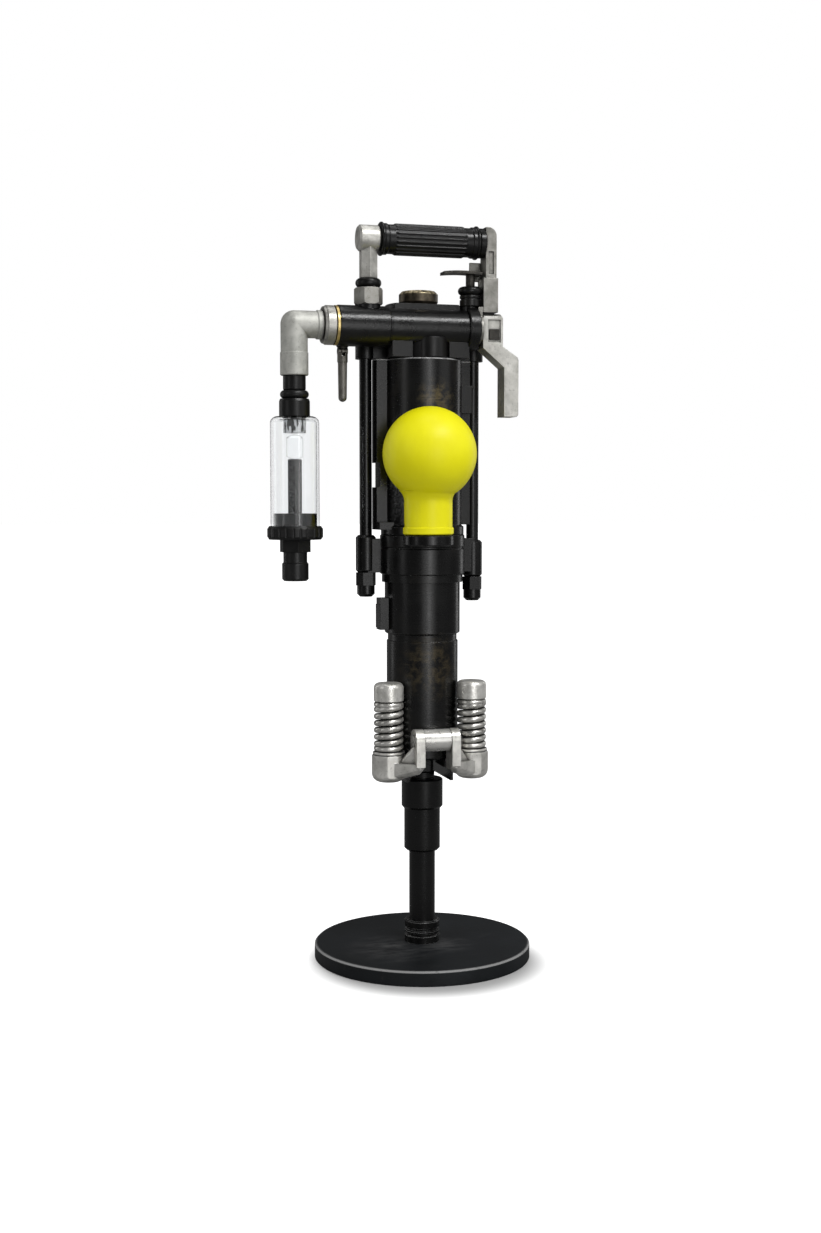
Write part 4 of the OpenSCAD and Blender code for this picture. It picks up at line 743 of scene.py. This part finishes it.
def coil_growth(material, sizes):
    g = Growth("coil_spring", material, sizes)
    last = g.math("SUBTRACT", g.given["Steps"], 1.0)
    share = g.math("DIVIDE", g.add("GeometryNodeInputIndex").outputs[0], last)
    turn = g.math("MULTIPLY", share, g.given["Turns"])
    angle = g.math("MULTIPLY", turn, math.tau)
    climb = g.math("SUBTRACT", turn, g.given["Closed"])
    free = g.math("SUBTRACT", g.given["Turns"], g.math("MULTIPLY", g.given["Closed"], 2.0))
    risen = g.math("MINIMUM", g.math("MAXIMUM", g.math("DIVIDE", climb, free), 0.0), 1.0)
    inner = g.math("SUBTRACT", g.given["Height"], g.given["Wire"])
    half = g.math("MULTIPLY", g.given["Wire"], 0.5)
    place = g.add("ShaderNodeCombineXYZ")
    g.link(g.math("MULTIPLY", g.math("COSINE", angle), g.given["Coil radius"]), place.inputs["X"])
    g.link(g.math("MULTIPLY", g.math("SINE", angle), g.given["Coil radius"]), place.inputs["Y"])
    g.link(g.math("MULTIPLY_ADD", risen, inner, half), place.inputs["Z"])
    line = g.add("GeometryNodeMeshLine")
    curve = g.add("GeometryNodeMeshToCurve")
    bend = g.add("GeometryNodeSetPosition")
    ring = g.add("GeometryNodeCurvePrimitiveCircle")
    sweep = g.add("GeometryNodeCurveToMesh")
    ring.inputs["Resolution"].default_value = WIRE_SIDES
    sweep.inputs["Fill Caps"].default_value = True
    g.link(g.given["Steps"], line.inputs["Count"])
    g.link(line.outputs["Mesh"], curve.inputs["Mesh"])
    g.link(curve.outputs["Curve"], bend.inputs["Geometry"])
    g.link(place.outputs["Vector"], bend.inputs["Position"])
    g.link(bend.outputs["Geometry"], sweep.inputs["Curve"])
    g.link(half, ring.inputs["Radius"])
    g.link(ring.outputs["Curve"], sweep.inputs["Profile Curve"])
    return g.end(sweep.outputs["Mesh"])


print("coil tree: wire with", WIRE_SIDES, "sides")

# %% [markdown]
# The springs stand on the drill's seats, under the retainer's caps. When the retainer slides down,
# the caps press them shorter.

# %% Retainer springs
WIRE = 0.0065
SPRING_ROOM = 0.0001

spring_low, spring_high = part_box("retainer_springs")
spring_y = (spring_low.y + spring_high.y) / 2.0
spring_out = (spring_high.y - spring_low.y) / 2.0
spring_x = (spring_high.x - spring_low.x) / 2.0 - spring_out
spring_h = spring_high.z - spring_low.z
spring_metal = casting("spring_metal", (0.50, 0.49, 0.46), (0.88, 0.865, 0.82), rough=0.28,
                       grain=500.0, depth=0.0001, metal=0.88)
coil_sizes = {
    "Coil radius": spring_out - WIRE / 2.0,
    "Wire": WIRE,
    "Height": spring_h - 2.0 * SPRING_ROOM,
    "Turns": 8.0,
    "Closed": 0.8,
    "Steps": 400,
}
coil = coil_growth(spring_metal, coil_sizes)
both_coils = [
    grown("coil", coil, coil_sizes, (x, spring_y, spring_low.z + SPRING_ROOM))
    for x in (-spring_x, spring_x)
]
springs = one_piece("retainer_coils", spring_metal, both_coils)
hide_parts("retainer_springs")
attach(springs, "drill")
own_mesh(springs)
print("springs:", len(springs.data.polygons), "faces, height", round(spring_h, 4))

# %% [markdown]
# The thumb trigger is pushed up by a small coil round its stem. It stands on the bar, so it rides
# with the drill, and the trigger's stroke only presses it flatter. The same tree makes it.

# %% Trigger spring
TRIGGER_WIRE = 0.0012
TRIGGER_ROOM = 0.0001

trigger_low, trigger_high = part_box("trigger_spring")
trigger_h = trigger_high.z - trigger_low.z
trigger_middle = (trigger_low + trigger_high) / 2.0
trigger_foot = (trigger_middle.x, trigger_middle.y, trigger_low.z)
trigger_sizes = {
    "Coil radius": (trigger_high.x - trigger_low.x - TRIGGER_WIRE) / 2.0,
    "Wire": TRIGGER_WIRE,
    "Height": trigger_h - TRIGGER_ROOM,
    "Turns": 5.0,
    "Closed": 0.5,
    "Steps": 160,
}
thin_coil = grown("thin_coil", coil, trigger_sizes, trigger_foot)
trigger_coil = one_piece("trigger_coil", spring_metal, [thin_coil])
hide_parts("trigger_spring")
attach(trigger_coil, "drill")
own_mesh(trigger_coil)
print("trigger spring height", round(trigger_h, 4), "from", round(trigger_low.z, 4))

# %% [markdown]
# The grip is soft rubber with thin ribs along it. A flat grid is rolled up round the grip's axis
# by Geometry Nodes: each point's distance from the axis is the sum of a base, a lip at each end and
# a rib wave that starts and stops softly. The grid's outermost rows turn in to the hole, which
# closes the two ends. The rolled skin takes the place of the coarse solid.

# %% Ribbed grip tree
WELD = 0.00001
END_ROW = 0.0005
JUST_PAST_END = -0.00005
RIB_STARTS = (0.0142, 0.0175)
LIP_RISE = (0.0, 0.0013, 0.0010, 0.0023)
LIP_FALL = (0.0023, 0.0040, 0.0, -0.0013)
NECK_FALL = (0.0072, 0.0085, 0.0, -0.0010)


def grip_growth(material, sizes):
    g = Growth("ribbed_grip", material, sizes)
    apart = g.add("ShaderNodeSeparateXYZ")
    g.link(g.add("GeometryNodeInputPosition").outputs[0], apart.inputs[0])
    x = apart.outputs["X"]
    half = g.math("MULTIPLY", g.given["Length"], 0.5)
    away = g.math("SUBTRACT", half, g.math("ABSOLUTE", x))
    angle = g.math("MULTIPLY", apart.outputs["Y"], math.tau)
    wave = g.math("COSINE", g.math("MULTIPLY", angle, g.given["Ribs"]))
    crest = g.share(wave, -0.1, 0.75, kind="SMOOTHSTEP")
    ribbed = g.share(away, *RIB_STARTS, kind="SMOOTHSTEP")
    rib = g.math("MULTIPLY", g.math("MULTIPLY", crest, ribbed), g.given["Rib height"])
    steps = (LIP_RISE, LIP_FALL, NECK_FALL)
    lip, fall, neck = (g.share(away, *step, kind="SMOOTHSTEP") for step in steps)
    ring = g.math("ADD", g.math("ADD", lip, fall), neck)
    reach = g.math("ADD", g.math("ADD", g.given["Radius"], ring), rib)
    skin_row = g.math("GREATER_THAN", away, JUST_PAST_END)
    hole_row = g.math("SUBTRACT", 1.0, skin_row)
    hole = g.math("MULTIPLY", g.given["Hole"], hole_row)
    reach = g.math("ADD", g.math("MULTIPLY", reach, skin_row), hole)
    kept = g.math("MAXIMUM", g.math("MINIMUM", x, half), g.math("MULTIPLY", half, -1.0))
    place = g.add("ShaderNodeCombineXYZ")
    g.link(kept, place.inputs["X"])
    g.link(g.math("MULTIPLY", reach, g.math("COSINE", angle)), place.inputs["Y"])
    g.link(g.math("MULTIPLY", reach, g.math("SINE", angle)), place.inputs["Z"])
    grid = g.add("GeometryNodeMeshGrid")
    roll = g.add("GeometryNodeSetPosition")
    weld = g.add("GeometryNodeMergeByDistance")
    grid.inputs["Size Y"].default_value = 1.0
    weld.inputs["Distance"].default_value = WELD
    g.link(g.math("ADD", g.given["Length"], 2.0 * END_ROW), grid.inputs["Size X"])
    g.link(g.given["Along"], grid.inputs["Vertices X"])
    g.link(g.given["Around"], grid.inputs["Vertices Y"])
    g.link(grid.outputs["Mesh"], roll.inputs["Geometry"])
    g.link(place.outputs["Vector"], roll.inputs["Position"])
    g.link(roll.outputs["Geometry"], weld.inputs["Geometry"])
    return g.end(weld.outputs["Geometry"])


print("grip tree: ribs start", RIB_STARTS, "m from each end")

# %% [markdown]
# The grip solid's box gives the length, and the outer radius, which is that of the lips. The number
# of the ribs and their height follow the photograph, and the bore clears the bolt inside.

# %% Ribbed grip
LIP = 0.0023

grip_low, grip_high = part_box("grip")
grip_middle = (grip_low + grip_high) / 2.0
grip_sizes = {
    "Length": grip_high.x - grip_low.x,
    "Radius": (grip_high.z - grip_low.z) / 2.0 - LIP,
    "Hole": 0.0065,
    "Rib height": 0.0012,
    "Ribs": 22.0,
    "Along": 260,
    "Around": 353,
}
grip = grip_growth(rubber, grip_sizes)
grip_roll = grown("grip_roll", grip, grip_sizes, grip_middle)
grip_skin = one_piece("grip_skin", rubber, [grip_roll])
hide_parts("grip")
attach(grip_skin, "drill")
print("grip:", len(grip_skin.data.polygons), "faces")

# %% [markdown]
# The floor and the background are white to the camera, and to rays that pass through the clear
# bowl. Mirror rays see only a tenth of that white, because the photograph's blacks stay deep. The
# white is a glow that begins a little way out from the plate, so a soft shade lies round it. For
# the light that the floor throws back on the drill, it is a plain pale grey.

# %% Floor finish
WHITE_IN_MIRRORS = 0.10
FLOOR_PALE = grey(0.36)
FLOOR_DARK = grey(0.07)
SHADE_MIDDLE = (-0.0012, -0.0265, 0.0)
SHADE_FROM = 0.100
SHADE_TO = 0.150


def seen_directly(s, ray):
    """1 for the camera and for what is seen through clear plastic."""
    return s.math("MAXIMUM", ray["Is Camera Ray"], ray["Is Transmission Ray"])


def floor_finish():
    mat = bpy.data.materials.new("studio_floor")
    mat.use_nodes = True
    s = Pattern(mat.node_tree)
    s.tree.nodes.remove(s.tree.nodes["Principled BSDF"])
    ray = s.add("ShaderNodeLightPath").outputs
    pale = s.math("MAXIMUM", ray["Is Diffuse Ray"], ray["Is Camera Ray"])
    diffuse = s.add("ShaderNodeBsdfDiffuse")
    s.link(s.mix(pale, FLOOR_DARK, FLOOR_PALE), diffuse.inputs["Color"])
    away = s.vector_math("DISTANCE", s.place, SHADE_MIDDLE, "Value")
    open_floor = s.share(away, SHADE_FROM, SHADE_TO, kind="SMOOTHSTEP")
    white = s.math("MULTIPLY_ADD", ray["Is Glossy Ray"], WHITE_IN_MIRRORS, seen_directly(s, ray))
    glow = s.add("ShaderNodeEmission")
    s.link(s.math("MULTIPLY", white, open_floor), glow.inputs["Strength"])
    both = s.add("ShaderNodeAddShader")
    s.link(diffuse.outputs[0], both.inputs[0])
    s.link(glow.outputs[0], both.inputs[1])
    s.link(both.outputs[0], s.tree.nodes["Material Output"].inputs["Surface"])
    return mat


floor_white = floor_finish()
print("floor finish: shade from", SHADE_FROM, "to", SHADE_TO, "m")

# %% [markdown]
# The floor is one large square under the foot plate. It isn't part of the drill.

# %% Floor
FLOOR_HALF = 30.0

square = bpy.data.meshes.new("studio_floor")
corners = [(x * FLOOR_HALF, y * FLOOR_HALF, 0) for x, y in ((-1, -1), (1, -1), (1, 1), (-1, 1))]
square.from_pydata(corners, [], [(0, 1, 2, 3)])
square.materials.append(floor_white)
floor = bpy.data.objects.new("studio_floor", square)
scene.collection.objects.link(floor)
print("floor:", 2 * FLOOR_HALF, "m wide")

# %% [markdown]
# The background is white in the same way. What it throws on the drill is set apart from what is
# seen, so that the lamps and not the sky draw the shapes.

# %% White background
WORLD_LIGHT = 0.74

world = bpy.data.worlds.new("studio_world")
world.use_nodes = True
scene.world = world
sky = Steps(world.node_tree)
sky_ray = sky.add("ShaderNodeLightPath").outputs
unseen = sky.share(sky_ray["Is Diffuse Ray"], 0.0, 1.0, WHITE_IN_MIRRORS, WORLD_LIGHT)
background = world.node_tree.nodes["Background"]
background.inputs["Color"].default_value = grey(1.0)
sky.link(sky.math("MAXIMUM", seen_directly(sky, sky_ray), unseen), background.inputs["Strength"])
print("background: light", WORLD_LIGHT, "in mirrors", WHITE_IN_MIRRORS)

# %% [markdown]
# The lamps are large and soft. A narrow upright strip in front draws the thin highlight down every
# round body, wide ones from the front and the sides fill it, and a high one lights the tops.

# %% Soft lamps
MIDDLE = (0.0, 0.0, 0.42)
LAMPS = {
    "front_strip": dict(place=(0.16, -1.9, 0.62), width=0.24, height=1.3, power=3.6),
    "front_soft": dict(place=(0.10, -2.0, 0.42), width=1.3, height=1.2, power=6.0),
    "key_right": dict(place=(1.5, -1.2, 1.2), width=1.3, height=1.5, power=4.5),
    "fill_left": dict(place=(-1.9, -0.7, 1.0), width=0.4, height=1.4, power=2.4),
    "rim_left": dict(place=(-1.3, 1.0, 0.8), width=0.3, height=1.4, power=2.0),
    "rim_right": dict(place=(1.5, 0.8, 0.8), width=0.3, height=1.4, power=2.0),
    "front_high": dict(place=(0.54, -1.24, 2.14), width=1.1, height=0.35, power=28.0, aim=(0.0, 0.0, 0.6)),
    "top": dict(place=(0.0, 0.2, 2.2), width=0.8, height=0.8, power=5.0),
}


def soft_lamp(name, place, width, height, power, aim=MIDDLE):
    light = bpy.data.lights.new(name, "AREA")
    light.shape = "RECTANGLE"
    light.size = width
    light.size_y = height
    light.energy = power
    lamp = bpy.data.objects.new(name, light)
    lamp.location = place
    lamp.rotation_euler = (Vector(aim) - Vector(place)).to_track_quat("-Z", "Y").to_euler()
    scene.collection.objects.link(lamp)


for lamp_name, setting in LAMPS.items():
    soft_lamp(lamp_name, **setting)
scene.view_settings.view_transform = "Standard"

# %% [markdown]
# The dressed drill has to stay the size of the solids.
